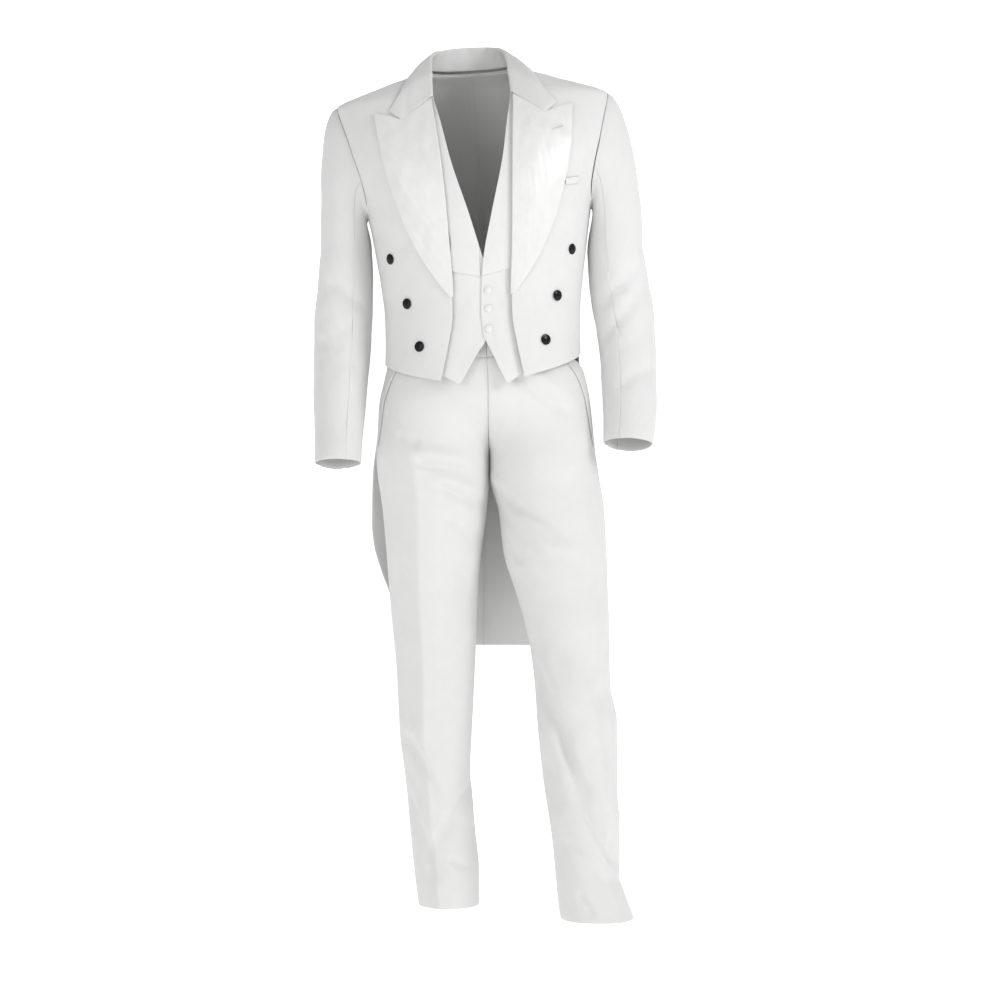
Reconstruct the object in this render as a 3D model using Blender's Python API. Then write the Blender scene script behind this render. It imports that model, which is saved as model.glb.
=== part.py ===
# A white evening tail suit with satin peak lapels, worn and hollow, in metres with +Z up.
# The suit faces -Y, and its own left side lies at +X. The origin is the middle of the neck,
# where the coat is carried. Every piece of cloth is a wall of even thickness on one of a few
# smooth surfaces: the coat's body, the tails, the sleeves and the trousers.
import math

import bmesh
import bpy
import numpy as np
from mathutils import Matrix, Vector

MM = 0.001

# Walls and gaps
COAT_WALL = 2.0 * MM
SATIN_WALL = 1.8 * MM
LIGHT_WALL = 1.6 * MM
SEAM_GAP = 0.3 * MM
LAPEL_LIFT = 3.3 * MM
COLLAR_WALL = 1.8 * MM
STAND_SETBACK = 2.6 * MM
STAND_DROP = 4.0 * MM
FOLD_WIDTH = 6.0 * MM
LEAF_CLEARANCE = 5.0 * MM
SHOULDER_GAP = 1.0 * MM
BUTTON_GAP = 0.25 * MM
ROLL_LIFT = 2.2 * MM
NORMAL_STEP = 1e-4
SHARP_ANGLE = math.radians(40)

# How the coat is carried: its level lines tilt, and its upright line bends by this per metre
WAIST_PIVOT = (5.4 * MM, -527.0 * MM)
TILT = math.radians(3.2)
BEND = 0.092

# The shoulder seam is a straight ridge from the neck point to the shoulder tip
NECK_X, NECK_Z = 80.0 * MM, -7.5 * MM
TIP_X, TIP_Z = 253.0 * MM, -66.5 * MM
TIP_ROUNDING = 14.0 * MM
UNDERARM_Z = -275.0 * MM
FRONT_SCYE = 0.24
BACK_SCYE = 0.18
ROUNDNESS = 2.3

# Levels of the coat
WAIST_SEAM_BACK = -515.0 * MM
WAIST_SEAM_SIDE = -532.0 * MM
FRONT_POINT_Z = -575.0 * MM
TAIL_HEM = -1057.0 * MM
TAIL_START = 1.10
TAIL_BLEND = 110.0 * MM
HIP_CENTRE = 9.0 * MM
GORGE_Z = -72.0 * MM
PEAK_Z = -92.0 * MM
LAPEL_END_Z = -429.0 * MM

# Levels of the trousers
BAND_TOP = -497.0 * MM
BAND_BOTTOM = -537.0 * MM
FORK_Z = -745.0 * MM
RISE_BLEND = 150.0 * MM

# Buttons
COAT_BUTTON = 19.0 * MM
VEST_BUTTON = 13.0 * MM
BUTTON_SIDES = 12

# Angles round the armhole, from the shoulder tip to the underarm, in degrees
SCYE_STEPS = (0.0, 10.0, 22.5, 45.0, 67.5, 90.0, 112.5, 135.0, 157.5, 180.0)
HINDARM = 112.5


class Table:
    """Rows of named columns in millimetres, read smoothly at any value of the first column."""

    def __init__(self, names, rows):
        data = np.array(sorted(rows), dtype=float) * MM
        if data.shape[1] != len(names.split()):
            raise ValueError(f"a row of {names} has the wrong length")
        self.keys = data[:, 0]
        self.values = data[:, 1:]
        steps = np.diff(self.keys)[:, None]
        slopes = np.diff(self.values, axis=0) / steps
        inner = np.zeros_like(self.values[1:-1])
        same = slopes[1:] * slopes[:-1] > 0
        inner[same] = (2 * slopes[1:] * slopes[:-1])[same] / (slopes[1:] + slopes[:-1])[same]
        self.slopes = np.vstack([slopes[:1], inner, slopes[-1:]])

    def read(self, key):
        """The columns at key, as a tuple of arrays of key's shape."""
        key = np.clip(np.asarray(key, dtype=float), self.keys[0], self.keys[-1])
        row = np.clip(np.searchsorted(self.keys, key, side="right") - 1, 0, len(self.keys) - 2)
        width = self.keys[row + 1] - self.keys[row]
        t = ((key - self.keys[row]) / width)[..., None]
        width = width[..., None]
        value = ((1 + 2 * t) * (1 - t) ** 2 * self.values[row]
                 + t * (1 - t) ** 2 * width * self.slopes[row]
                 + t * t * (3 - 2 * t) * self.values[row + 1]
                 + t * t * (t - 1) * width * self.slopes[row + 1])
        return tuple(value[..., column] for column in range(value.shape[-1]))


# Level sections of the coat's body on a general figure, narrowed by the ridge at the shoulders
BODY = Table("z half_width front_depth back_depth centre_y", [
    (-7, 252, 35, 62, 25),
    (-30, 250, 60, 86, 22),
    (-66.5, 248, 90, 104, 19),
    (-100, 245.5, 110, 114, 15),
    (-130, 241, 124, 121, 11),
    (-160, 235, 135, 127, 8),
    (-195, 224, 143, 132, 4),
    (-240, 209, 149, 133, 1),
    (-275, 200, 150, 131, 0),
    (-350, 188, 146, 123, 0),
    (-400, 181, 141, 115, 0),
    (-450, 176, 138, 111, 0),
    (-500, 175, 138, 119, 0),
    (-535, 176, 140, 131, 0),
    (-600, 179, 143, 140, 0),
])

# The coat's front edge and roll line, from the waist point up to the gorge and the neck
COAT_EDGE = Table("z x", [
    (-575, 74), (-513, 60.5), (-459, 52.5), (-429, 52.5), (-343, 56.5), (-240, 61.5),
    (-153, 67), (-72, 73.5), (-33, 74.5), (-7.5, 80),
])

# The lapel's outer edge, from the end of the roll up to the peak
LAPEL_EDGE = Table("z x", [
    (-429, 56), (-394, 82), (-347, 109.5), (-292, 134), (-247, 148), (-207, 159.5),
    (-134, 171.5), (-92, 175.5),
])

# The tails: half width at the front edge, and how far back that edge and the middle hang
TAIL = Table("z half_width edge_y middle_y", [
    (-1057, 138, 104, 158),
    (-1000, 160, 102, 156),
    (-955, 177, 100, 154),
    (-920, 190, 98, 154),
    (-870, 204, 95, 154),
    (-830, 208, 92, 154),
    (-750, 206, 86, 154),
    (-650, 195, 78, 153),
    (-580, 185, 64, 148),
    (-532, 176, 38, 134),
])

# The waistcoat's front edges, the left one on top, each from its own side
VEST_EDGE_LEFT = Table("z x", [
    (-502, 2), (-457, -2), (-401, 0), (-364, 4), (-290, 20.5), (-187, 46), (-107, 60.5),
    (-40, 74), (-7.5, 80),
])
VEST_EDGE_RIGHT = Table("z x", [
    (-490, -15), (-457, -16), (-401, -15), (-364, -3), (-290, 17.5), (-187, 46),
    (-107, 60.5), (-40, 74), (-7.5, 80),
])

# The waistcoat's hems, from the centre to the side seam, as x and z in millimetres
VEST_HEM_LEFT = ((2, -502), (9, -515), (26.5, -550), (44.5, -586.5), (71.5, -568),
                 (100, -556), (128, -545), (150, -535), (167, -528))
VEST_HEM_RIGHT = ((-15, -490), (-2, -515), (20, -549), (40.5, -582.5), (68.5, -568),
                  (100, -556), (128, -545), (150, -535), (167, -528))
VEST_LAP = 2.4 * MM
VEST_LAPEL_WALL = 1.2 * MM
VEST_LAPEL_STOP = {1: -1.0, -1: 3.0 * MM}

# How far the waistcoat lies inside the coat
VEST_INSET = Table("z inset", [
    (-600, 9), (-480, 8), (-420, 7), (-250, 8), (-100, 7), (-60, 6.5), (-7, 3.2),
])

# The sleeves: inner and outer edge as seen from the front, centre and half depth
SLEEVE_LEFT = Table("z outer inner centre_y half_depth", [
    (-687, 307.5, 219.5, -58, 47),
    (-630, 316, 220, -36, 50),
    (-562, 317.5, 218, -12, 54),
    (-470, 314.5, 208, 8, 59),
    (-400, 304.5, 197, 12, 62),
    (-340, 294, 193, 12, 63),
])
SLEEVE_RIGHT = Table("z outer inner centre_y half_depth", [
    (-722, 293.5, 210.5, -66, 45),
    (-716, 293.5, 210.5, -64, 45),
    (-652, 296, 207, -40, 48),
    (-569, 298.5, 200, -13, 53),
    (-486, 299, 194.5, 8, 58),
    (-401, 292.5, 192.5, 12, 61),
    (-340, 287, 194.5, 12, 62),
])
SLEEVE_HEAD_TOP = -340.0 * MM

# The trouser legs: outer and inner edge from the front, then centre and half depths
LEG_LEFT = Table("z outer inner centre_y front_depth back_depth", [
    (-1520.5, 271, 142, -126, 74, 76),
    (-1505, 265, 139.5, -124, 72, 75),
    (-1466, 250.5, 135.5, -120, 70, 74),
    (-1450, 245.5, 134, -118, 70, 74),
    (-1383, 245.5, 127.5, -110, 70, 76),
    (-1289, 243, 113.5, -98, 70, 78),
    (-1179, 243, 102, -82, 72, 80),
    (-1120, 232, 98, -72, 75, 82),
    (-1046, 230, 89, -58, 78, 84),
    (-1002, 230, 79, -50, 81, 87),
    (-949, 228.5, 63, -37, 85, 92),
    (-885, 226.5, 43, -25, 92, 99),
    (-806, 223, 33, -10, 98, 108),
    (-745, 213.5, 17.4, 0, 102, 115),
    (-700, 207, 17, 0, 104, 122),
    (-644, 201.5, 16, 0, 108, 128),
    (-600, 196, 15.5, 0, 112, 126),
    (-574, 190, 15, 0, 114, 122),
    (-556, 182, 14, 0, 116, 114),
    (-547, 175, 13.5, 0, 117, 109),
    (-537, 167, 13, 0, 117, 104),
    (-497, 159.7, 11, 0, 117, 97),
])
LEG_RIGHT = Table("z outer inner centre_y front_depth back_depth", [
    (-1515, 110.5, 1.8, 10, 76, 78),
    (-1500, 112.5, 1.8, 10, 75, 77),
    (-1456, 118, 1.8, 10, 72, 75),
    (-1379, 125.5, 9, 9, 70, 75),
    (-1312, 131.5, 14.5, 8, 70, 76),
    (-1280, 135, 18, 8, 70, 76),
    (-1210, 144, 15, 7, 72, 77),
    (-1163, 146.5, 12.6, 6, 74, 79),
    (-1085, 150.5, 9, 4, 77, 82),
    (-1004, 158.4, 5.4, 2, 81, 87),
    (-950, 163, 3.6, 2, 85, 92),
    (-886, 167.4, -1.8, 1, 91, 99),
    (-806, 174.6, -12.6, 0, 98, 108),
    (-767, 180, -15.8, 0, 101, 112),
    (-745, 183.5, -16.8, 0, 102, 115),
    (-700, 186, -17, 0, 104, 122),
    (-660, 183.6, -16, 0, 107, 127),
    (-620, 181.5, -16, 0, 110, 127),
    (-574, 171.5, -15, 0, 114, 122),
    (-556, 164, -14, 0, 116, 114),
    (-537, 151.5, -13, 0, 117, 104),
    (-497, 149, -11, 0, 117, 97),
])
CREASE_HEIGHT = 4.0 * MM
CREASE_PLACE = {1: 0.72, -1: 0.60}
BACK_CREASE_PLACE = 0.5

# Folds that are troughs (below 0) or ridges, as lines from one place to another
# side, face, start across, start z, end across, end z, width, height
LEG_FOLDS = (
    (1, "front", 0.06, -1040, 0.55, -1290, 22, -7),
    (1, "front", 0.55, -1290, 0.85, -1420, 20, -6),
    (1, "front", 0.62, -1120, 0.70, -1230, 18, 5),
    (1, "front", 0.05, -760, 0.62, -850, 22, -6),
    (1, "front", 0.75, -1450, 1.00, -1440, 16, -6),
    (-1, "front", 0.85, -1265, 0.45, -1365, 20, -6),
    (-1, "front", 0.10, -1330, 0.62, -1450, 20, -6),
    (-1, "front", 0.10, -760, 0.50, -740, 20, -4),
    (1, "back", 0.15, -1000, 0.80, -1060, 22, -6),
    (1, "back", 0.20, -1400, 0.80, -1450, 20, -6),
    (-1, "back", 0.20, -1010, 0.80, -1050, 22, -6),
    (-1, "back", 0.20, -1380, 0.80, -1440, 20, -6),
)
# side, start angle, start z, end angle, end z, width, height
SLEEVE_FOLDS = (
    (1, 60, -380, 130, -430, 15, -5),
    (1, 70, -440, 140, -500, 14, -5),
    (1, 40, -560, 110, -600, 14, -4),
    (-1, 60, -400, 130, -440, 14, -4),
    (-1, 50, -520, 120, -560, 15, -5),
    (1, 250, -440, 200, -470, 16, -4),
    (-1, 250, -450, 200, -480, 16, -4),
)


# Places in the numbers

def mix(start, end, share):
    """A value between start and end."""
    return start + (end - start) * share


def ease(value):
    """Rises smoothly from 0 to 1."""
    value = np.clip(value, 0.0, 1.0)
    return value * value * (3 - 2 * value)


def unit(vectors):
    """The vectors at length 1."""
    return vectors / np.maximum(np.linalg.norm(vectors, axis=-1, keepdims=True), 1e-12)


def power(value, exponent):
    """A signed power."""
    return np.sign(value) * np.abs(value) ** exponent


def polyline(places, values, at):
    """Straight runs between the values at the places, read at the given places."""
    values = np.asarray(values, dtype=float)
    return np.stack([np.interp(at, places, values[:, k]) for k in range(values.shape[1])], -1)


# The coat's body

def body_sizes(z):
    """Half width, depths and centre of the body's section at a level."""
    half, front, back, centre = BODY.read(z)
    ridge = TIP_X + (np.asarray(z) - TIP_Z) * (NECK_X - TIP_X) / (NECK_Z - TIP_Z)
    narrower = (ridge + half - np.hypot(ridge - half, TIP_ROUNDING)) / 2
    return narrower, front, back, centre


def body(turn, z):
    """Upright body point: turn is 0 in front, 1 at the side, 2 behind, 3 at the far side."""
    half, front, back, centre = body_sizes(z)
    angle = turn * math.pi / 2
    across, along = np.sin(angle), np.cos(angle)
    depth = np.where(along >= 0, front, back)
    x = half * power(across, 2 / ROUNDNESS)
    y = centre - depth * power(along, 2 / ROUNDNESS)
    return np.stack([x, y, z + 0 * x], -1)


def turn_at(x, z):
    """The turn of the front point with this x."""
    half = body_sizes(z)[0]
    across = np.clip(np.abs(x) / half, 0, 1) ** (ROUNDNESS / 2)
    return np.sign(x) * np.arcsin(across) / (math.pi / 2)


def carry(points):
    """Tilts and bends upright points as the suit is worn."""
    height = points[..., 2] - WAIST_PIVOT[1]
    x = WAIST_PIVOT[0] + points[..., 0] * math.cos(TILT) - BEND * height * np.abs(height)
    z = WAIST_PIVOT[1] + points[..., 0] * math.sin(TILT) + height
    return np.stack([x, points[..., 1], z], -1)


def normals(surface, across, up):
    """Outward directions of a surface that runs anticlockwise seen from above."""
    step = NORMAL_STEP
    along = surface(across + step, up) - surface(across - step, up)
    rise = surface(across, up + step) - surface(across, up - step)
    return unit(np.cross(along, rise))


def coat(side, inset=None):
    """The coat's surface on one side, or one that lies inside it by an inset table."""

    def upright(turn, z):
        points = body(turn, z)
        if inset is None:
            return points
        return points - normals(body, turn, z) * inset.read(z)[0][..., None]

    def surface(turn, z):
        points = upright(turn, z)
        return carry(points * np.array([side, 1.0, 1.0]))

    return surface


def scye(degrees, behind=False):
    """The armhole as turn and level, at an angle from the shoulder tip."""
    angle = np.radians(degrees)
    middle, half = (TIP_Z + UNDERARM_Z) / 2, (TIP_Z - UNDERARM_Z) / 2
    bulge = BACK_SCYE if behind else -FRONT_SCYE
    return np.stack([1 + bulge * np.sin(angle), middle + half * np.cos(angle)], -1)


def patch(bottom, top, left, right, share=None):
    """A grid of places inside four edges, each a row of places, with its columns at a share."""
    if share is None:
        share = np.linspace(0, 1, len(bottom))
    u = share[None, :, None]
    v = np.linspace(0, 1, len(left))[:, None, None]
    ruled = (1 - v) * bottom[None] + v * top[None] + (1 - u) * left[:, None] + u * right[:, None]
    corners = ((1 - u) * (1 - v) * bottom[0] + u * (1 - v) * bottom[-1]
               + (1 - u) * v * top[0] + u * v * top[-1])
    return ruled - corners


def front_places(x, z):
    """Turns and levels of points given by x and level on the front."""
    x, z = np.asarray(x, dtype=float), np.asarray(z, dtype=float)
    return np.stack([turn_at(x, z), z], -1)


# Walls of cloth

def material(name, colour, roughness, metallic=0.0):
    """A plain finish."""
    finish = bpy.data.materials.get(name)
    if finish is None:
        finish = bpy.data.materials.new(name)
        finish.use_nodes = True
        shader = finish.node_tree.nodes["Principled BSDF"]
        shader.inputs["Base Color"].default_value = (*colour, 1.0)
        shader.inputs["Roughness"].default_value = roughness
        shader.inputs["Metallic"].default_value = metallic
    return finish


CLOTH = ("white barathea", (0.80, 0.80, 0.79), 0.85)
SATIN = ("white satin", (0.88, 0.88, 0.87), 0.35)
VEST = ("white waistcoat cloth", (0.82, 0.82, 0.81), 0.8)
BLACK = ("black button", (0.01, 0.01, 0.01), 0.25)


def keep(name, mesh, finish):
    """Makes the mesh the object of this name, with its own finish."""
    built = bpy.data.meshes.new(name)
    mesh.to_mesh(built)
    mesh.free()
    built.shade_smooth()
    built.set_sharp_from_angle(angle=SHARP_ANGLE)
    built.materials.append(material(f"{finish[0]}, {name}", finish[1], finish[2]))
    piece = bpy.data.objects.new(name, built)
    bpy.context.scene.collection.objects.link(piece)
    return piece


def pull_in(points, edges):
    """Draws the named edges of a grid of points in by half a seam gap, along the cloth."""
    moved = points.copy()
    sides = {"left": (np.s_[:, 0], np.s_[:, 1]), "right": (np.s_[:, -1], np.s_[:, -2]),
             "bottom": (np.s_[0], np.s_[1]), "top": (np.s_[-1], np.s_[-2])}
    for edge in edges:
        rim, inner = sides[edge]
        along = unit(np.gradient(points[rim], axis=0))
        inward = points[inner] - points[rim]
        inward -= along * np.sum(inward * along, -1, keepdims=True)
        moved[rim] += unit(inward) * SEAM_GAP / 2
    return moved


def wall(name, outer, outward, thickness, finish, seams="", rim_row=0, rim_outward=None):
    """One piece of cloth: a closed wall behind a grid of points, row by row."""
    outer = pull_in(outer, seams.split())
    if rim_outward is not None:
        outward = outward.copy()
        outward[rim_row] = rim_outward
    inner = outer - outward * thickness
    rows, columns = outer.shape[:2]
    mesh = bmesh.new()
    front = [[mesh.verts.new(outer[r, c]) for c in range(columns)] for r in range(rows)]
    back = [[mesh.verts.new(inner[r, c]) for c in range(columns)] for r in range(rows)]
    for r in range(rows - 1):
        for c in range(columns - 1):
            square = ((r, c), (r, c + 1), (r + 1, c + 1), (r + 1, c))
            first = np.linalg.norm(outer[r, c] - outer[r + 1, c + 1])
            second = np.linalg.norm(outer[r, c + 1] - outer[r + 1, c])
            halves = ((0, 1, 2), (0, 2, 3)) if first <= second else ((0, 1, 3), (1, 2, 3))
            for half in halves:
                corners = [square[k] for k in half]
                mesh.faces.new([front[i][j] for i, j in corners])
                mesh.faces.new([back[i][j] for i, j in reversed(corners)])
    loop = [(0, c) for c in range(columns)] + [(r, columns - 1) for r in range(1, rows)]
    loop += [(rows - 1, c) for c in range(columns - 2, -1, -1)]
    loop += [(r, 0) for r in range(rows - 2, 0, -1)]
    for (i, j), (k, m) in zip(loop, loop[1:] + loop[:1]):
        mesh.faces.new([front[k][m], front[i][j], back[i][j]])
        mesh.faces.new([front[k][m], back[i][j], back[k][m]])
    bmesh.ops.recalc_face_normals(mesh, faces=mesh.faces)
    return keep(name, mesh, finish)


def faced(surface, side):
    """The normals of a mirrored surface point inwards, so they are turned round."""

    def outward(across, up):
        return normals(surface, across, up) * side

    return outward


def sided_panel(name, surface, side, places, thickness, finish, seams="", lift=0.0):
    """A wall of cloth on one side's surface, at a grid of places, raised by a lift."""
    across, up = places[..., 0], places[..., 1]
    outward = faced(surface, side)(across, up)
    raised = surface(across, up) + outward * (np.zeros(across.shape) + lift)[..., None]
    return wall(name, raised, outward, thickness, finish, seams)


def turned(name, centre, facing, profile, finish, sides=BUTTON_SIDES):
    """A round piece: profile lists (radius, height) along its axis, from back to front."""
    mesh = bmesh.new()
    rings = []
    for radius, height in profile:
        ring = bmesh.ops.create_circle(mesh, segments=sides, radius=radius)["verts"]
        bmesh.ops.translate(mesh, verts=ring, vec=(0, 0, height))
        rings.append(ring)
    for low, high in zip(rings, rings[1:]):
        for k in range(sides):
            mesh.faces.new([low[k - 1], low[k], high[k], high[k - 1]])
    mesh.faces.new(list(reversed(rings[0])))
    mesh.faces.new(rings[-1])
    bmesh.ops.recalc_face_normals(mesh, faces=mesh.faces)
    upright = Vector((0, 0, 1)).rotation_difference(Vector(facing)).to_matrix().to_4x4()
    mesh.transform(Matrix.Translation(Vector(centre)) @ upright)
    return keep(name, mesh, finish)


# The coat

def coat_front(side, label):
    """A forepart, from its waist point to the shoulder."""
    rise = np.linspace(0, 1, 10)[:-1]
    side_seam = np.stack([np.ones(9), mix(WAIST_SEAM_SIDE, UNDERARM_Z, rise)], -1)
    armhole = scye(np.array(SCYE_STEPS[::-1]))
    right = np.vstack([side_seam, armhole])
    level = np.linspace(0, 1, len(right))
    edge_z = np.interp(level, [0, 0.5, 0.88, 1], [FRONT_POINT_Z, UNDERARM_Z, GORGE_Z, NECK_Z])
    left = front_places(COAT_EDGE.read(edge_z)[0], edge_z)
    u = np.linspace(0, 1, 9)
    bottom = mix(left[0], right[0], u[:, None])
    top = np.stack([np.ones(9), mix(NECK_Z, TIP_Z, u)], -1)
    places = patch(bottom, top, left, right)
    return sided_panel(f"coat_front_{label}", coat(side), side, places, COAT_WALL, CLOTH,
                       "right top")


def back_seam():
    """The seam between back and side body, from the waist seam up to the armhole."""
    rise = np.linspace(0, 1, 10)
    top = scye(HINDARM, behind=True)
    turn = mix(1.72, top[0], rise ** 2.2)
    start = mix(WAIST_SEAM_SIDE, WAIST_SEAM_BACK, 0.72)
    return np.stack([turn, mix(start, top[1], rise)], -1)


def coat_side(side, label):
    """A side body, between the back seam and the side seam."""
    seam = back_seam()
    side_seam = np.stack([np.ones(10), np.linspace(WAIST_SEAM_SIDE, UNDERARM_Z, 10)], -1)
    under = np.array([angle for angle in SCYE_STEPS if angle >= HINDARM])
    top = scye(under, behind=True)[::-1]
    bottom = mix(side_seam[0], seam[0], np.linspace(0, 1, len(top))[:, None])
    places = patch(bottom, top, side_seam, seam)
    return sided_panel(f"coat_side_{label}", coat(side), side, places, COAT_WALL, CLOTH,
                       "left right top bottom")


def coat_back(side, label):
    """A back, from the waist seam to the neck and shoulder."""
    over = np.array([angle for angle in SCYE_STEPS if angle <= HINDARM])[::-1]
    left = np.vstack([back_seam()[:-1], scye(over, behind=True)])
    rows = len(left)
    right = np.stack([np.full(rows, 2.0), np.linspace(WAIST_SEAM_BACK, NECK_Z, rows)], -1)
    shoulder = np.stack([np.ones(6), np.linspace(TIP_Z, NECK_Z, 6)], -1)
    neck = np.stack([np.linspace(1, 2, 5), np.full(5, NECK_Z)], -1)
    top = np.vstack([shoulder, neck[1:]])
    bottom = mix(left[0], right[0], np.linspace(0, 1, len(top))[:, None])
    places = patch(bottom, top, left, right)
    return sided_panel(f"coat_back_{label}", coat(side), side, places, COAT_WALL, CLOTH,
                       "left right top bottom")


def tail_seam(across):
    """The waist seam as turn and level: across runs from the front edge, 0, to the back, 1."""
    turn = mix(TAIL_START, 2.0, across)
    return turn, mix(WAIST_SEAM_SIDE, WAIST_SEAM_BACK, turn - 1)


def tail_surface(side):
    """The tail's surface, hanging from the waist seam."""
    carried = coat(side)

    def surface(across, z):
        top = carried(*tail_seam(across))
        half, edge_y, middle_y = TAIL.read(z)
        out = 1 - across
        x = HIP_CENTRE + side * (half * out + SEAM_GAP * across)
        y = middle_y - (middle_y - edge_y) * out ** 3
        level = z + 0 * x
        hung = np.stack([x, y, level], -1)
        below = np.concatenate([top[..., :2], level[..., None]], -1)
        drop = (top[..., 2] - z) / TAIL_BLEND
        return mix(below, hung, ease(drop)[..., None])

    return surface


def coat_tail(side, label):
    """A tail, from the waist seam to its hem at the knee."""
    surface, carried = tail_surface(side), coat(side)
    across = np.linspace(0, 1, 8)
    seam = tail_seam(across)
    drops = np.linspace(1, 0, 15) ** 1.1
    level = mix(carried(*seam)[..., 2][None, :], TAIL_HEM, drops[:, None])
    grid = np.broadcast_to(across, level.shape)
    outward = faced(surface, side)(grid, level)
    wall(f"coat_tail_{label}", surface(grid, level), outward, COAT_WALL, CLOTH, "right top",
         rim_row=-1, rim_outward=faced(carried, side)(*seam))


def fold_height(places, folds):
    """Height of the folds at places given in metres along the cloth."""
    height = np.zeros(places.shape[:-1])
    for start, end, width, depth in folds:
        run = end - start
        share = np.clip(np.sum((places - start) * run, -1) / np.sum(run * run), 0, 1)
        gap = np.linalg.norm(places - start - share[..., None] * run, axis=-1)
        height += depth * np.exp(-(gap / width) ** 2)
    return height


def sleeve_surface(side):
    """A sleeve: across is the angle from its outer edge over the front, up its height."""
    table = SLEEVE_LEFT if side > 0 else SLEEVE_RIGHT
    ring_size = 60 * MM
    folds = [(np.array([math.radians(a) * ring_size, z * MM]),
              np.array([math.radians(b) * ring_size, w * MM]), width * MM, height * MM)
             for hand, a, z, b, w, width, height in SLEEVE_FOLDS if hand == side]

    def centre(z):
        outer, inner, y, _ = table.read(z)
        return np.stack([side * (outer + inner) / 2, y, z + 0 * y], -1)

    def surface(angle, z):
        outer, inner, _, half_depth = table.read(z)
        axis = unit(centre(z + MM) - centre(z - MM))
        wide = np.zeros(axis.shape)
        wide[..., 0] = side
        wide = unit(wide - axis * np.sum(wide * axis, -1, keepdims=True))
        ahead = unit(np.cross(wide, axis)) * side
        place = np.stack([np.mod(angle, 2 * math.pi) * ring_size, z + 0 * angle], -1)
        swell = 1 + fold_height(place, folds) / ring_size
        half_width = (outer - inner) / 2 * swell
        return (centre(z) + wide * (half_width * np.cos(angle))[..., None]
                + ahead * (half_depth * swell * np.sin(angle))[..., None])

    return surface


def sleeve_rows(side, degrees):
    """Outer points of a sleeve, from the armhole down to the cuff, column by column."""
    angle = np.radians(degrees)
    carried = coat(side)
    front = scye(np.where(degrees > 180, 360 - degrees, degrees))
    behind = scye(np.where(degrees > 180, 360 - degrees, degrees), behind=True)
    rim = np.where((degrees > 180)[:, None], behind, front)
    start = carried(rim[:, 0], rim[:, 1])
    rim_outward = faced(carried, side)(rim[:, 0], rim[:, 1])
    tube = sleeve_surface(side)
    end = tube(angle, np.full(len(angle), SLEEVE_HEAD_TOP))
    over = (1 + np.cos(angle)) / 2
    reach = mix(9 * MM, 34 * MM, over)[:, None]
    climb = mix(30 * MM, 125 * MM, over)[:, None]
    outward = unit(np.array([side * 0.97, 0.0, 0.10 - 0.34]))
    start = start + outward * SHOULDER_GAP
    near, far = start + outward * reach, end + np.array([0, 0, 1.0]) * climb
    head = []
    for t in (0.0, 0.12, 0.26, 0.42, 0.6, 0.8):
        head.append((1 - t) ** 3 * start + 3 * t * (1 - t) ** 2 * near
                    + 3 * t * t * (1 - t) * far + t ** 3 * end)
    table = SLEEVE_LEFT if side > 0 else SLEEVE_RIGHT
    arm = [tube(angle, np.full(len(angle), z))
           for z in np.linspace(SLEEVE_HEAD_TOP, table.keys[0], 14)]
    return np.array(head + arm), rim_outward


def grid_normals(points, side):
    """Outward directions at a grid of points."""
    down = np.gradient(points, axis=0)
    round_ = np.gradient(points, axis=1)
    return unit(np.cross(down, round_)) * side


def sleeves(side, label):
    """The top sleeve and the under sleeve, seamed at the forearm and the hindarm."""
    front = np.array(SCYE_STEPS)
    loop = np.concatenate([front, 360 - front[-2::-1]])
    points, rim_outward = sleeve_rows(side, loop)
    outward = grid_normals(np.concatenate([points[:, -2:-1], points, points[:, 1:2]], 1), -side)
    outward = outward[:, 1:-1]
    agree = ease(2 * np.cos(np.radians(loop)))[:, None]
    rim = unit(mix(outward[0], rim_outward, agree))
    low = int(np.argmin(np.abs(loop - HINDARM)))
    high = int(np.argmin(np.abs(loop - (360 - HINDARM))))
    upper = list(range(high, len(loop) - 1)) + list(range(0, low + 1))
    under = list(range(low, high + 1))
    for name, chosen in (("top_sleeve", upper), ("under_sleeve", under)):
        wall(f"{name}_{label}", points[:, chosen], outward[:, chosen], COAT_WALL, CLOTH,
             "left right", rim_outward=rim[chosen])


def lapel(side, label):
    """A peak lapel, on the forepart from the roll line out."""
    level = np.linspace(0, 1, 13)
    roll_z = mix(LAPEL_END_Z, GORGE_Z, level)
    left = front_places(COAT_EDGE.read(roll_z)[0], roll_z)
    edge_z = mix(LAPEL_END_Z, PEAK_Z, level)
    right = front_places(LAPEL_EDGE.read(edge_z)[0], edge_z)
    top = gorge_line()
    bottom = mix(left[0], right[0], np.linspace(0, 1, len(top))[:, None])
    places = patch(bottom, top, left, right)
    lift = mix(ROLL_LIFT, LAPEL_LIFT, ease(np.linspace(0, 3, len(top))))[None, :]
    return sided_panel(f"lapel_{label}", coat(side), side, places, SATIN_WALL, SATIN,
                       "top", lift=lift)


def gorge_line():
    """The top of the lapel: down the gorge seam to the notch, then up to the peak."""
    x = np.array([73.5, 90.5, 107.5, 124.5, 141.5, 158.5, 175.5]) * MM
    z = np.array([-72, -84.5, -97, -110, -104.5, -98.5, -92]) * MM
    return front_places(x, z)


def clear_of_front(points, share):
    """Moves the leaf's points ahead of the forepart they lie on."""
    surface_y = body(turn_at(points[:, 0], points[:, 2]), points[:, 2])[:, 1]
    over = (share > 0.7) & (share < 1) & (points[:, 0] < body_sizes(points[:, 2])[0])
    moved = points.copy()
    moved[over, 1] = np.minimum(points[over, 1], surface_y[over] - LEAF_CLEARANCE)
    return moved


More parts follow.
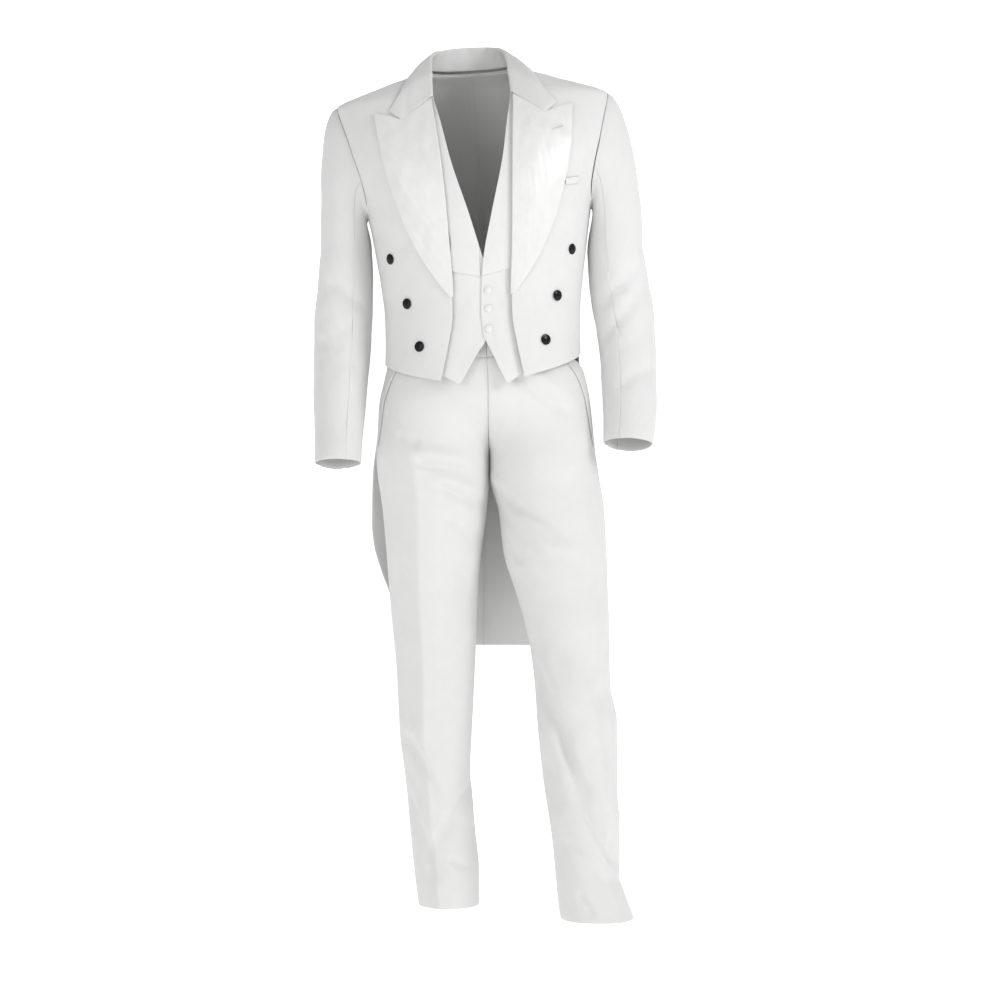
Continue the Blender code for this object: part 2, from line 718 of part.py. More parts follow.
def collar():
    """Stand and leaf in one, from gorge to gorge round the back of the neck."""
    share = np.array([0, 0.12, 0.25, 0.38, 0.5, 0.6, 0.68, 0.72, 0.76, 0.80, 0.84, 0.88, 0.92,
                      0.96, 1.0])
    key = [0, 0.25, 0.5, 0.68, 0.84, 1.0]
    fold = polyline(key, np.array([
        (0, 83, 38), (34, 77, 36), (57, 54, 30), (66, 24, 18), (69, -38, -23),
        (70, -73, -69)]) * MM, share)
    seam_places = polyline(key, [
        (2.0, NECK_Z), (1.72, NECK_Z), (1.38, NECK_Z), (1.0, NECK_Z),
        tuple(front_places(74.5 * MM, -33 * MM)), tuple(front_places(73.5 * MM, GORGE_Z))],
        share)
    edge_places = polyline(key, [
        (2.0, -18 * MM), (1.72, -19 * MM), (1.38, -19 * MM), (1.0, -16 * MM),
        tuple(front_places(127 * MM, -60 * MM)), tuple(front_places(148 * MM, -92 * MM))],
        share)
    ahead_of_ridge = share > 0.68
    edge_z = np.interp(share, key[3:], np.array([-16, -60, -92]) * MM)
    edge_x = np.interp(share, key[3:], [body_sizes(-16 * MM)[0], 127 * MM, 148 * MM])
    edge_places[ahead_of_ridge] = front_places(edge_x, edge_z)[ahead_of_ridge]
    edge = body(edge_places[:, 0], edge_places[:, 1])
    edge_lift = polyline(key, np.array([[3.3], [3.3], [3.3], [4.0], [4.6], [3.3]]) * MM, share)
    edge += normals(body, edge_places[:, 0], edge_places[:, 1]) * edge_lift
    seam = body(seam_places[:, 0], seam_places[:, 1])
    inward = np.stack([-seam[:, 0], -np.maximum(seam[:, 1] - 20 * MM, 0), 0 * share], -1)
    inward = unit(inward)
    away = unit(fold - seam)
    face = unit(np.cross(away, np.gradient(fold, axis=0)))
    ahead = ease((share - 0.6) / 0.2)[:, None]
    base = mix(seam, fold, mix(0.08, 0.5, ahead)) + inward * STAND_SETBACK
    base[:, 2] += 1.5 * MM
    base -= face * STAND_DROP * ahead
    notch = gorge_line()[1:4]
    gorge = body(notch[:, 0], notch[:, 1])
    gorge += normals(body, notch[:, 0], notch[:, 1]) * LAPEL_LIFT
    crest_in = fold - face * FOLD_WIDTH / 2
    crest_out = fold + face * FOLD_WIDTH / 2
    crest = fold + away * 1.5 * MM
    ends = ease((share - 0.84) / 0.16)[:, None]
    leaf = []
    for k, (part, bulge) in enumerate(((0.25, 2.0), (0.5, 3.0), (0.75, 2.0))):
        middle = mix(crest_out, edge, part) + face * bulge * MM
        leaf.append(clear_of_front(mix(middle, gorge[k], ends), share))
    half = np.stack([base, mix(base, crest_in, 0.55), crest_in, crest, crest_out, *leaf, edge], 1)
    mirrored = half[:0:-1] * np.array([-1.0, 1.0, 1.0])
    points = carry(np.concatenate([mirrored, half]))
    return wall("collar", points, grid_normals(points, 1), COLLAR_WALL, CLOTH, "bottom top")


def breast_welt():
    """The welt of the breast pocket, from the lapel's edge towards the armhole."""
    u = np.linspace(0, 1, 4)
    x = mix(153.5, 178, u) * MM
    low = front_places(x, mix(-241, -238, u) * MM)
    high = front_places(x, mix(-230, -226, u) * MM)
    places = np.stack([low, high])
    return sided_panel("breast_welt", coat(1), 1, places, 1.5 * MM, CLOTH, lift=2.2 * MM)


def button_profile(diameter, height):
    """A domed button with a rounded edge."""
    radius = diameter / 2
    return [(radius * 0.72, 0.0), (radius, height * 0.35), (radius * 0.95, height * 0.75),
            (radius * 0.6, height)]


def coat_buttons():
    """Six buttons, three down each forepart."""
    number = 0
    for side in (-1, 1):
        surface = coat(side)
        for x, z in ((160.5, -353), (132.5, -434.5), (111, -512)):
            number += 1
            place = front_places(np.array([x * MM]), np.array([z * MM]))
            facing = faced(surface, side)(place[:, 0], place[:, 1])[0]
            centre = surface(place[:, 0], place[:, 1])[0] + facing * BUTTON_GAP
            turned(f"coat_button_{number}", centre, facing,
                   button_profile(COAT_BUTTON, 3.6 * MM), BLACK)


# The waistcoat

def lap_lift(places):
    """How far the lapping front is raised near the centre, below the opening."""
    x = body(places[..., 0], places[..., 1])[..., 0]
    low = 1 - ease((places[..., 1] + 380 * MM) / (60 * MM))
    return VEST_LAP * low * (1 - ease((x - 20 * MM) / (30 * MM)))


def vest_front(side, label, edge, bottom_points, laps):
    """A waistcoat front. The one that laps over the other is raised near the centre."""
    rise = np.linspace(0, 1, 8)[:-1]
    seam = np.stack([np.ones(7), mix(-528 * MM, -300 * MM, rise)], -1)
    scye_x = np.array([190.0, 186, 176, 166, 159, 154, 150]) * MM
    scye_z = np.array([-300.0, -280, -240, -190, -130, -80, -32.5]) * MM
    curve = front_places(scye_x, scye_z)
    curve[0, 0] = 1.0
    curve[-1, 0] = 1.0
    right = np.vstack([seam, curve])
    level = np.linspace(0, 1, len(right))
    edge_z = np.interp(level, [0, 0.5, 1], [edge.keys[0], -300 * MM, NECK_Z - 0.6 * MM])
    left = front_places(edge.read(edge_z)[0], edge_z)
    top = np.stack([np.ones(9), np.linspace(NECK_Z - 0.6 * MM, scye_z[-1], 9)], -1)
    top[0, 0] = left[-1, 0] = 1.0
    x = np.array([point[0] for point in bottom_points]) * MM
    z = np.array([point[1] for point in bottom_points]) * MM
    bottom = front_places(x, z)
    bottom[-1, 0] = 1.0
    bottom[0] = left[0]
    places = patch(bottom, top, left, right)
    lift = lap_lift(places) if laps else 0.0
    return sided_panel(f"waistcoat_front_{label}", coat(side, VEST_INSET), side, places,
                       LIGHT_WALL, VEST, "right top", lift=lift)


def vest_back(side, label):
    """One half of the waistcoat's back, laid out by its x and level."""
    seam_z = np.linspace(-528, -300, 8)[:-1] * MM
    scye_x = np.array([190.0, 184, 172, 162, 156, 152, 150]) * MM
    scye_z = np.array([-300.0, -280, -240, -190, -130, -80, -32.5]) * MM
    scye_x[[0, -1]] = body_sizes(scye_z[[0, -1]])[0]
    left = np.concatenate([np.stack([body_sizes(seam_z)[0], seam_z], -1),
                           np.stack([scye_x, scye_z], -1)])
    top_z = NECK_Z - 0.6 * MM
    right = np.stack([np.zeros(len(left)), np.linspace(-520 * MM, top_z, len(left))], -1)
    share = 1 - power(np.cos(np.linspace(0, 1, 9) * math.pi / 2), 2 / ROUNDNESS)
    neck = 5
    share[neck] = 1 - NECK_X / scye_x[-1]
    ridge = np.minimum(share / share[neck], 1)
    top = np.stack([scye_x[-1] * (1 - share), mix(scye_z[-1], top_z, ridge)], -1)
    top[:neck, 0] = body_sizes(top[:neck, 1])[0]
    bottom = mix(left[0], right[0], share[:, None])
    spread = patch(bottom, top, left, right, share)
    places = front_places(spread[..., 0], spread[..., 1])
    places[..., 0] = 2 - places[..., 0]
    return sided_panel(f"waistcoat_back_{label}", coat(side, VEST_INSET), side, places,
                       LIGHT_WALL, VEST, "left right top")


def vest_lapel(side, label, edge):
    """The waistcoat's narrow lapel, along the opening down to its slanting end."""
    level = np.linspace(0, 1, 9)
    z = mix(-396 * MM, -100 * MM, level)
    inner_x = np.maximum(edge.read(z)[0], VEST_LAPEL_STOP[side])
    left = front_places(inner_x, z)
    right = front_places(inner_x + mix(56, 24, level) * MM, z + mix(12, 0, level) * MM)
    u = np.linspace(0, 1, 5)[:, None]
    places = patch(mix(left[0], right[0], u), mix(left[-1], right[-1], u), left, right)
    lift = VEST_LAPEL_WALL + 0.9 * MM + (lap_lift(places) if side > 0 else 0.0)
    return sided_panel(f"waistcoat_lapel_{label}", coat(side, VEST_INSET), side, places,
                       VEST_LAPEL_WALL, VEST, lift=lift)


# The trousers

def leg_surface(side, face):
    """Half a trouser leg and hip: across runs from the inseam, 0, to the outseam, 1."""
    table = LEG_LEFT if side > 0 else LEG_RIGHT
    sign = -1 if face == "front" else 1
    crease_place = CREASE_PLACE[side] if face == "front" else BACK_CREASE_PLACE
    folds = [(np.array([a * 220 * MM, z * MM]), np.array([b * 220 * MM, w * MM]),
              width * MM, height * MM)
             for hand, half, a, z, b, w, width, height in LEG_FOLDS
             if hand == side and half == face]

    def surface(across, z):
        outer, inner, centre_y, front_depth, back_depth = table.read(z)
        depth = front_depth if face == "front" else back_depth
        inner = inner + SEAM_GAP / 2
        half, middle = (outer - inner) / 2, (outer + inner) / 2
        angle = across * math.pi
        crease = CREASE_HEIGHT * np.exp(-((across - crease_place) / 0.07) ** 2)
        place = np.stack([across * 220 * MM, z + 0 * across], -1)
        depth_here = depth + crease + fold_height(place, folds)
        leg_x = middle - half * np.cos(angle)
        leg_y = centre_y + sign * depth_here * np.abs(np.sin(angle)) ** 0.9 * np.sign(np.sin(angle))
        quarter = across * math.pi / 2
        hip_x = inner + (outer - inner) * power(np.sin(quarter), 2 / ROUNDNESS)
        hip_y = centre_y + sign * depth * power(np.cos(quarter), 2 / ROUNDNESS)
        share = ease((z - FORK_Z) / RISE_BLEND)
        x = mix(leg_x, hip_x, share)
        y = mix(leg_y, hip_y, share)
        return np.stack([side * x, y, z + 0 * x], -1)

    return surface


def leg_outward(surface, side, face, across, z):
    """Outward directions of half a leg."""
    sign = 1 if face == "front" else -1
    return normals(surface, across, z) * side * sign


def trouser_panel(side, face, label):
    """The front or the back of one trouser leg, from its hem to the waistband."""
    surface = leg_surface(side, face)
    across = np.linspace(0, 1, 9)
    hem = (LEG_LEFT if side > 0 else LEG_RIGHT).keys[0]
    z = np.concatenate([np.linspace(hem, FORK_Z, 22), np.linspace(FORK_Z, BAND_BOTTOM, 8)[1:]])
    grid = np.stack(np.broadcast_arrays(across[None, :], z[:, None]), -1)
    outward = leg_outward(surface, side, face, grid[..., 0], grid[..., 1])
    points = surface(grid[..., 0], grid[..., 1])
    return wall(f"trouser_{face}_{label}", points, outward, LIGHT_WALL, CLOTH,
                "left right top")


def waistband(side, label):
    """Half the waistband, from the fly to the centre back."""
    faces = [leg_surface(side, "front"), leg_surface(side, "back")]
    z = np.array([BAND_BOTTOM, mix(BAND_BOTTOM, BAND_TOP, 0.5), BAND_TOP])
    across = np.linspace(0, 1, 8)
    columns, outward = [], []
    for face, surface in zip(("front", "back"), faces):
        run = across if face == "front" else across[::-1][1:]
        grid = np.stack(np.broadcast_arrays(run[None, :], z[:, None]), -1)
        columns.append(surface(grid[..., 0], grid[..., 1]))
        outward.append(leg_outward(surface, side, face, grid[..., 0], grid[..., 1]))
    return wall(f"waistband_{label}", np.concatenate(columns, 1), np.concatenate(outward, 1),
                COAT_WALL, CLOTH, "left right bottom")


def pocket_edge(side, label):
    """The edge of a slanted side pocket, on the trouser front."""
    surface = leg_surface(side, "front")
    run = np.linspace(0, 1, 6)
    grid = np.stack([
        np.stack([mix(0.70, 0.93, run), mix(-541, -690, run) * MM], -1),
        np.stack([mix(0.66, 0.90, run), mix(-541, -694, run) * MM], -1)])
    outward = leg_outward(surface, side, "front", grid[..., 0], grid[..., 1])
    points = surface(grid[..., 0], grid[..., 1]) + outward * 2.1 * MM
    return wall(f"trouser_pocket_{label}", points, outward, 1.2 * MM, CLOTH)


def vest_buttons():
    """Three covered buttons down the lapped front."""
    surface = coat(1, VEST_INSET)
    for number, z in enumerate((-421.5, -452.5, -488), start=1):
        place = front_places(np.array([11 * MM]), np.array([z * MM]))
        facing = faced(surface, 1)(place[:, 0], place[:, 1])[0]
        centre = surface(place[:, 0], place[:, 1])[0] + facing * (VEST_LAP + BUTTON_GAP)
        turned(f"waistcoat_button_{number}", centre, facing,
               button_profile(VEST_BUTTON, 3.0 * MM), VEST)


def clear_scene():
    """Starts from an empty scene."""
    for old in list(bpy.data.objects):
        bpy.data.objects.remove(old, do_unlink=True)


def main():
    """Builds the suit."""
    clear_scene()
    for side, label in ((1, "left"), (-1, "right")):
        coat_front(side, label)
        coat_side(side, label)
        coat_back(side, label)
        coat_tail(side, label)
        sleeves(side, label)
        lapel(side, label)
        vest_back(side, label)
        trouser_panel(side, "front", label)
        trouser_panel(side, "back", label)
        waistband(side, label)
        pocket_edge(side, label)
    vest_front(1, "left", VEST_EDGE_LEFT, VEST_HEM_LEFT, True)
    vest_front(-1, "right", VEST_EDGE_RIGHT, VEST_HEM_RIGHT, False)
    vest_lapel(1, "left", VEST_EDGE_LEFT)
    vest_lapel(-1, "right", VEST_EDGE_RIGHT)
    collar()
    breast_welt()
    coat_buttons()
    vest_buttons()


main()
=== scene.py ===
# Looks for a white evening tail suit with satin peak lapels, worn and hollow: fine shells of
# cloth on the fixed frame's forms, in metres with +Z up. The suit faces -Y, and its own left
# side lies at +X. It is laid out as an add-on and run as a script.
import math

import bmesh
import bpy
import numpy as np
from bpy.props import FloatProperty, FloatVectorProperty, PointerProperty
from mathutils import Matrix, Vector


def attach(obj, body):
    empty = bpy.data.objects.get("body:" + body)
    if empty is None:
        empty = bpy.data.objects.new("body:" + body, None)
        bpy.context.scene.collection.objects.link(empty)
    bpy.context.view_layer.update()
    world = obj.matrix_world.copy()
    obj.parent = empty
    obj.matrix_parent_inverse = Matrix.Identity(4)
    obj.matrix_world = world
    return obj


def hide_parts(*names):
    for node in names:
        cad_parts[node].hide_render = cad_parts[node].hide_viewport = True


bl_info = {
    "name": "Peak lapel tail suit",
    "version": (1, 0, 0),
    "blender": (4, 5, 0),
    "location": "View3D > Sidebar > Suit",
    "description": "Makes the cloth, buttons and sewing of an evening tail suit on its frame",
    "category": "Object",
}

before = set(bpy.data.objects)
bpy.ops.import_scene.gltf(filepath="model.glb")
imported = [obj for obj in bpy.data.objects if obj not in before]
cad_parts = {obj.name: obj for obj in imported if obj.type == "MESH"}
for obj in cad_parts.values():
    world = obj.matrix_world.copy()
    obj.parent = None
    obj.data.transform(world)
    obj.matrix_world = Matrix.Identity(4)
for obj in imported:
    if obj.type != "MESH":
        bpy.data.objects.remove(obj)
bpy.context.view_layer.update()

MM = 0.001

# Gaps and small forms
SEAM_GAP = 0.3 * MM
LAPEL_LIFT = 3.3 * MM
ROLL_LIFT = 2.2 * MM
UNDER_ROLL = 3.0 * MM
WELT_LIFT = 2.2 * MM
POCKET_LIFT = 2.1 * MM
STAND_SETBACK = 2.6 * MM
STAND_DROP = 4.0 * MM
FOLD_WIDTH = 6.0 * MM
LEAF_CLEARANCE = 5.0 * MM
SHOULDER_GAP = 0.4 * MM
BUTTON_GAP = 0.25 * MM
NORMAL_STEP = 1e-4

# How the coat is carried: its level lines tilt, and its upright line bends by this per metre
WAIST_PIVOT = (5.4 * MM, -527.0 * MM)
TILT = math.radians(3.2)
BEND = 0.092

# The shoulder seam is a straight ridge from the neck point to the shoulder tip
NECK_X, NECK_Z = 80.0 * MM, -7.5 * MM
TIP_X, TIP_Z = 253.0 * MM, -66.5 * MM
TIP_ROUNDING = 14.0 * MM
UNDERARM_Z = -275.0 * MM
FRONT_SCYE = 0.24
BACK_SCYE = 0.18
ROUNDNESS = 2.3

# Levels of the coat
WAIST_SEAM_BACK = -515.0 * MM
WAIST_SEAM_SIDE = -532.0 * MM
FRONT_POINT_Z = -575.0 * MM
TAIL_HEM = -1057.0 * MM
TAIL_START = 1.10
TAIL_BLEND = 110.0 * MM
HIP_CENTRE = 9.0 * MM
GORGE_Z = -72.0 * MM
PEAK_Z = -92.0 * MM
LAPEL_END_Z = -429.0 * MM

# Levels of the trousers
BAND_TOP = -497.0 * MM
BAND_BOTTOM = -537.0 * MM
FORK_Z = -745.0 * MM
RISE_BLEND = 150.0 * MM

# Where the sleeve's hindarm seam and the back seam meet the armhole, in degrees from the tip
HINDARM = 112.5

# Levels and widths of the waistcoat's armholes, from the side seam up to the shoulder
VEST_HEM_SIDE = -528.0 * MM
VEST_SCYE_Z = (-300.0, -280, -240, -190, -130, -80, -32.5)
VEST_SCYE_FRONT = (190.0, 186, 176, 166, 159, 154, 150)
VEST_SCYE_BACK = (190.0, 184, 172, 162, 156, 152, 150)
VEST_TOP_Z = NECK_Z - 0.6 * MM
VEST_LAPEL_LOW, VEST_LAPEL_HIGH = -396 * MM, -100 * MM

# Buttons: x and level on the front, then their height and how far the face sinks in its rim
COAT_BUTTON_PLACES = ((160.5, -353), (132.5, -434.5), (111, -512))
VEST_BUTTON_PLACES = ((11, -421.5), (11, -452.5), (11, -488))
COAT_BUTTON_FORM = (3.6 * MM, 0.25 * MM)
VEST_BUTTON_FORM = (3.0 * MM, 0.0)

# The buttonhole's two ends and its stitches: how many, how long and how wide
HOLE_X, HOLE_Z = (136, 155), (-144, -137)
HOLE_STITCHES, STITCH_SIZE = 26, (0.6 * MM, 2.6 * MM)

# The collar's lines, at shares from the centre back to the gorge: the fold as x, y and level,
# and how far the leaf's edge stands off the coat, in millimetres
COLLAR_KEYS = (0, 0.25, 0.5, 0.68, 0.84, 1.0)
COLLAR_SHARES = (0, 0.12, 0.25, 0.38, 0.5, 0.6, 0.68, 0.72, 0.76, 0.80, 0.84, 0.88, 0.92,
                 0.96, 1.0)
COLLAR_FOLD = ((0, 83, 38), (34, 77, 36), (57, 54, 30), (66, 24, 18), (69, -38, -23),
               (70, -73, -69))
COLLAR_LIFT = (3.3, 3.3, 3.3, 4.0, 4.6, 3.3)

# Round pieces, seams and rims
LAPEL_ROLL_RADIUS = 2.4 * MM
SEAM_DEPTH, SEAM_DEPTH_WIDTH = 0.35 * MM, 2.4 * MM
SEAM_RIDGE, SEAM_RIDGE_PLACE, SEAM_RIDGE_WIDTH = 0.25 * MM, 7 * MM, 4 * MM
TURNING_DEPTH, TURNING_REACH = 0.3 * MM, 3.0 * MM
RIM_SHARE = 0.25
BUTTON_STEPS = 40
WELT_WALL = 1.5 * MM
POCKET_WALL = 1.2 * MM
HIP_RISE, FLY_RISE = 5 * MM, 1.3 * MM

# The photograph's camera, the lights and the paper behind the suit
CAMERA_PLACE = (0.036, -5.0, -0.788)
LENS, SENSOR = 100.0, 36.0
AIM = (0.0, 0.0, -0.75)
KEY_PLACE, KEY_SIZE = (3.4, -2.6, 1.5), 1.6
FILL_PLACE, FILL_SIZE = (-2.8, -4.4, 0.4), 2.6
PAPER_FRONT, PAPER_WALL, PAPER_RADIUS = -14.0, 9.0, 3.0
PAPER_HEIGHT, PAPER_HALF_WIDTH, PAPER_GLOW = 6.0, 14.0, 0.55

# The woven finishes: roughness, threads a metre, relief, mottling, sheen and how far the ribs
# slant
WEAVES = {
    "suit_cloth": (0.82, 620, 0.16 * MM, 0.085, 0.10, 1.0),
    "waistcoat_cloth": (0.84, 420, 0.24 * MM, 0.075, 0.10, 0.0),
    "covered_button": (0.8, 700, 0.10 * MM, 0.06, 0.1, 1.0),
}
WEAVE = "weave"
ENDS = np.array([0.0, 1.0])


class Curve:
    """A smooth line through values at rising keys, which never swings past its values."""

    def __init__(self, keys, values):
        self.keys = np.asarray(keys, dtype=float)
        self.values = np.asarray(values, dtype=float)
        steps = np.diff(self.keys)[:, None]
        slopes = np.diff(self.values, axis=0) / steps
        inner = np.zeros_like(self.values[1:-1])
        same = slopes[1:] * slopes[:-1] > 0
        inner[same] = (2 * slopes[1:] * slopes[:-1])[same] / (slopes[1:] + slopes[:-1])[same]
        self.slopes = np.vstack([slopes[:1], inner, slopes[-1:]])

    def at(self, key):
        """The values at key, with the columns last."""
        key = np.clip(np.asarray(key, dtype=float), self.keys[0], self.keys[-1])
        row = np.clip(np.searchsorted(self.keys, key, side="right") - 1, 0, len(self.keys) - 2)
        width = self.keys[row + 1] - self.keys[row]
        t = ((key - self.keys[row]) / width)[..., None]
        width = width[..., None]
        return ((1 + 2 * t) * (1 - t) ** 2 * self.values[row]
                + t * (1 - t) ** 2 * width * self.slopes[row]
                + t * t * (3 - 2 * t) * self.values[row + 1]
                + t * t * (t - 1) * width * self.slopes[row + 1])


class Table(Curve):
    """Rows of named columns in millimetres, read smoothly at any value of the first column."""

    def __init__(self, names, rows):
        data = np.array(sorted(rows), dtype=float) * MM
        if data.shape[1] != len(names.split()):
            raise ValueError(f"a row of {names} has the wrong length")
        super().__init__(data[:, 0], data[:, 1:])

    def read(self, key):
        """The columns at key, as a tuple of arrays of key's shape."""
        value = self.at(key)
        return tuple(value[..., column] for column in range(value.shape[-1]))


# Level sections of the coat's body on a general figure, narrowed by the ridge at the shoulders
BODY = Table("z half_width front_depth back_depth centre_y", [
    (-7, 252, 35, 62, 25),
    (-30, 250, 60, 86, 22),
    (-66.5, 248, 90, 104, 19),
    (-100, 245.5, 110, 114, 15),
    (-130, 241, 124, 121, 11),
    (-160, 235, 135, 127, 8),
    (-195, 224, 143, 132, 4),
    (-240, 209, 149, 133, 1),
    (-275, 200, 150, 131, 0),
    (-350, 188, 146, 123, 0),
    (-400, 181, 141, 115, 0),
    (-450, 176, 138, 111, 0),
    (-500, 175, 138, 119, 0),
    (-535, 176, 140, 131, 0),
    (-600, 179, 143, 140, 0),
])

# The coat's front edge and roll line, from the waist point up to the gorge and the neck
COAT_EDGE = Table("z x", [
    (-575, 74), (-513, 60.5), (-459, 52.5), (-429, 52.5), (-343, 56.5), (-240, 61.5),
    (-153, 67), (-72, 73.5), (-33, 74.5), (-7.5, 80),
])

# The lapel's outer edge, from the end of the roll up to the peak
LAPEL_EDGE = Table("z x", [
    (-429, 56), (-394, 82), (-347, 109.5), (-292, 134), (-247, 148), (-207, 159.5),
    (-134, 171.5), (-92, 175.5),
])

# The tails: half width at the front edge, and how far back that edge and the middle hang
TAIL = Table("z half_width edge_y middle_y", [
    (-1057, 138, 104, 158),
    (-1000, 160, 102, 156),
    (-955, 177, 100, 154),
    (-920, 190, 98, 154),
    (-870, 204, 95, 154),
    (-830, 208, 92, 154),
    (-750, 206, 86, 154),
    (-650, 195, 78, 153),
    (-580, 185, 64, 148),
    (-532, 176, 38, 134),
])

# The waistcoat's front edges, the left one on top, each from its own side
VEST_EDGE_LEFT = Table("z x", [
    (-502, 2), (-457, -2), (-401, 0), (-364, 4), (-290, 20.5), (-187, 46), (-107, 60.5),
    (-40, 74), (-7.5, 80),
])
VEST_EDGE_RIGHT = Table("z x", [
    (-490, -15), (-457, -16), (-401, -15), (-364, -3), (-290, 17.5), (-187, 46),
    (-107, 60.5), (-40, 74), (-7.5, 80),
])

# The waistcoat's hems, from the centre to the side seam, as x and z in millimetres
VEST_HEM_LEFT = ((2, -502), (9, -515), (26.5, -550), (44.5, -586.5), (71.5, -568),
                 (100, -556), (128, -545), (150, -535), (167, -528))
VEST_HEM_RIGHT = ((-15, -490), (-2, -515), (20, -549), (40.5, -582.5), (68.5, -568),
                  (100, -556), (128, -545), (150, -535), (167, -528))
VEST_LAP = 2.4 * MM
LAP_TOP, LAP_WIDTH = -380 * MM, 20 * MM
VEST_LAPEL_WALL = 1.2 * MM
VEST_LAPEL_STOP = {1: -1.0, -1: 3.0 * MM}

# How far the waistcoat lies inside the coat
VEST_INSET = Table("z inset", [
    (-600, 9), (-480, 8), (-420, 7), (-250, 8), (-100, 7), (-60, 6.5), (-7, 3.2),
])

# The sleeves: inner and outer edge as seen from the front, centre and half depth
SLEEVE_LEFT = Table("z outer inner centre_y half_depth", [
    (-687, 307.5, 219.5, -58, 47),
    (-630, 316, 220, -36, 50),
    (-562, 317.5, 218, -12, 54),
    (-470, 314.5, 208, 8, 59),
    (-400, 304.5, 197, 12, 62),
    (-340, 294, 193, 12, 63),
])
SLEEVE_RIGHT = Table("z outer inner centre_y half_depth", [
    (-722, 293.5, 210.5, -66, 45),
    (-716, 293.5, 210.5, -64, 45),
    (-652, 296, 207, -40, 48),
    (-569, 298.5, 200, -13, 53),
    (-486, 299, 194.5, 8, 58),
    (-401, 292.5, 192.5, 12, 61),
    (-340, 287, 194.5, 12, 62),
])
SLEEVES = {1: SLEEVE_LEFT, -1: SLEEVE_RIGHT}
SLEEVE_HEAD_TOP = -340.0 * MM

# The sleeve's head leaves the armhole outwards and a little down, and eases into the arm, by
# lengths for the underarm and for the shoulder tip
HEAD_LEAN = (0.97, -0.24)
HEAD_REACH = (9 * MM, 34 * MM)
HEAD_CLIMB = (30 * MM, 125 * MM)
HEAD_ROWS, ARM_ROWS = 30, 84

# The trouser legs: outer and inner edge from the front, then centre and half depths
LEG_LEFT = Table("z outer inner centre_y front_depth back_depth", [
    (-1520.5, 271, 142, -126, 74, 76),
    (-1505, 265, 139.5, -124, 72, 75),
    (-1466, 250.5, 135.5, -120, 70, 74),
    (-1450, 245.5, 134, -118, 70, 74),
    (-1383, 245.5, 127.5, -110, 70, 76),
    (-1289, 243, 113.5, -98, 70, 78),
    (-1179, 243, 102, -82, 72, 80),
    (-1120, 232, 98, -72, 75, 82),
    (-1046, 230, 89, -58, 78, 84),
    (-1002, 230, 79, -50, 81, 87),
    (-949, 228.5, 63, -37, 85, 92),
    (-885, 226.5, 43, -25, 92, 99),
    (-806, 223, 33, -10, 98, 108),
    (-745, 213.5, 17.4, 0, 102, 115),
    (-700, 207, 17, 0, 104, 122),
    (-644, 201.5, 16, 0, 108, 128),
    (-600, 196, 15.5, 0, 112, 126),
    (-574, 190, 15, 0, 114, 122),
    (-556, 182, 14, 0, 116, 114),
    (-547, 175, 13.5, 0, 117, 109),
    (-537, 167, 13, 0, 117, 104),
    (-497, 159.7, 11, 0, 117, 97),
])
LEG_RIGHT = Table("z outer inner centre_y front_depth back_depth", [
    (-1515, 110.5, 1.8, 10, 76, 78),
    (-1500, 112.5, 1.8, 10, 75, 77),
    (-1456, 118, 1.8, 10, 72, 75),
    (-1379, 125.5, 9, 9, 70, 75),
    (-1312, 131.5, 14.5, 8, 70, 76),
    (-1280, 135, 18, 8, 70, 76),
    (-1210, 144, 15, 7, 72, 77),
    (-1163, 146.5, 12.6, 6, 74, 79),
    (-1085, 150.5, 9, 4, 77, 82),
    (-1004, 158.4, 5.4, 2, 81, 87),
    (-950, 163, 3.6, 2, 85, 92),
    (-886, 167.4, -1.8, 1, 91, 99),
    (-806, 174.6, -12.6, 0, 98, 108),
    (-767, 180, -15.8, 0, 101, 112),
    (-745, 183.5, -16.8, 0, 102, 115),
    (-700, 186, -17, 0, 104, 122),
    (-660, 183.6, -16, 0, 107, 127),
    (-620, 181.5, -16, 0, 110, 127),
    (-574, 171.5, -15, 0, 114, 122),
    (-556, 164, -14, 0, 116, 114),
    (-537, 151.5, -13, 0, 117, 104),
    (-497, 149, -11, 0, 117, 97),
])
LEGS = {1: LEG_LEFT, -1: LEG_RIGHT}
LEG_ROUNDNESS = 0.9
CREASE_HEIGHT = 4.5 * MM
CREASE_EDGE, CREASE_SPREAD = 0.006, 0.05
FLY_END, FLY_SHARE = -700 * MM, 0.10
CREASE_PLACE = {1: 0.72, -1: 0.60}
BACK_CREASE_PLACE = 0.5

# A sleeve's radius and half a leg's girth, which turn angles and shares into lengths
SLEEVE_RING = 60 * MM
LEG_ROUND = 220 * MM

# The broad folds that the source has too: a height below 0 is a trough
# side, face, start across, start z, end across, end z, width, height
LEG_FOLDS = (
    (1, "front", 0.06, -1040, 0.55, -1290, 22, -7),
    (1, "front", 0.55, -1290, 0.85, -1420, 20, -6),
    (1, "front", 0.62, -1120, 0.70, -1230, 18, 5),
    (1, "front", 0.05, -760, 0.62, -850, 22, -6),
    (1, "front", 0.75, -1450, 1.00, -1440, 16, -6),
    (-1, "front", 0.85, -1265, 0.45, -1365, 20, -6),
    (-1, "front", 0.10, -1330, 0.62, -1450, 20, -6),
    (-1, "front", 0.10, -760, 0.50, -740, 20, -4),
    (1, "back", 0.15, -1000, 0.80, -1060, 22, -6),
    (1, "back", 0.20, -1400, 0.80, -1450, 20, -6),
    (-1, "back", 0.20, -1010, 0.80, -1050, 22, -6),
    (-1, "back", 0.20, -1380, 0.80, -1440, 20, -6),
)
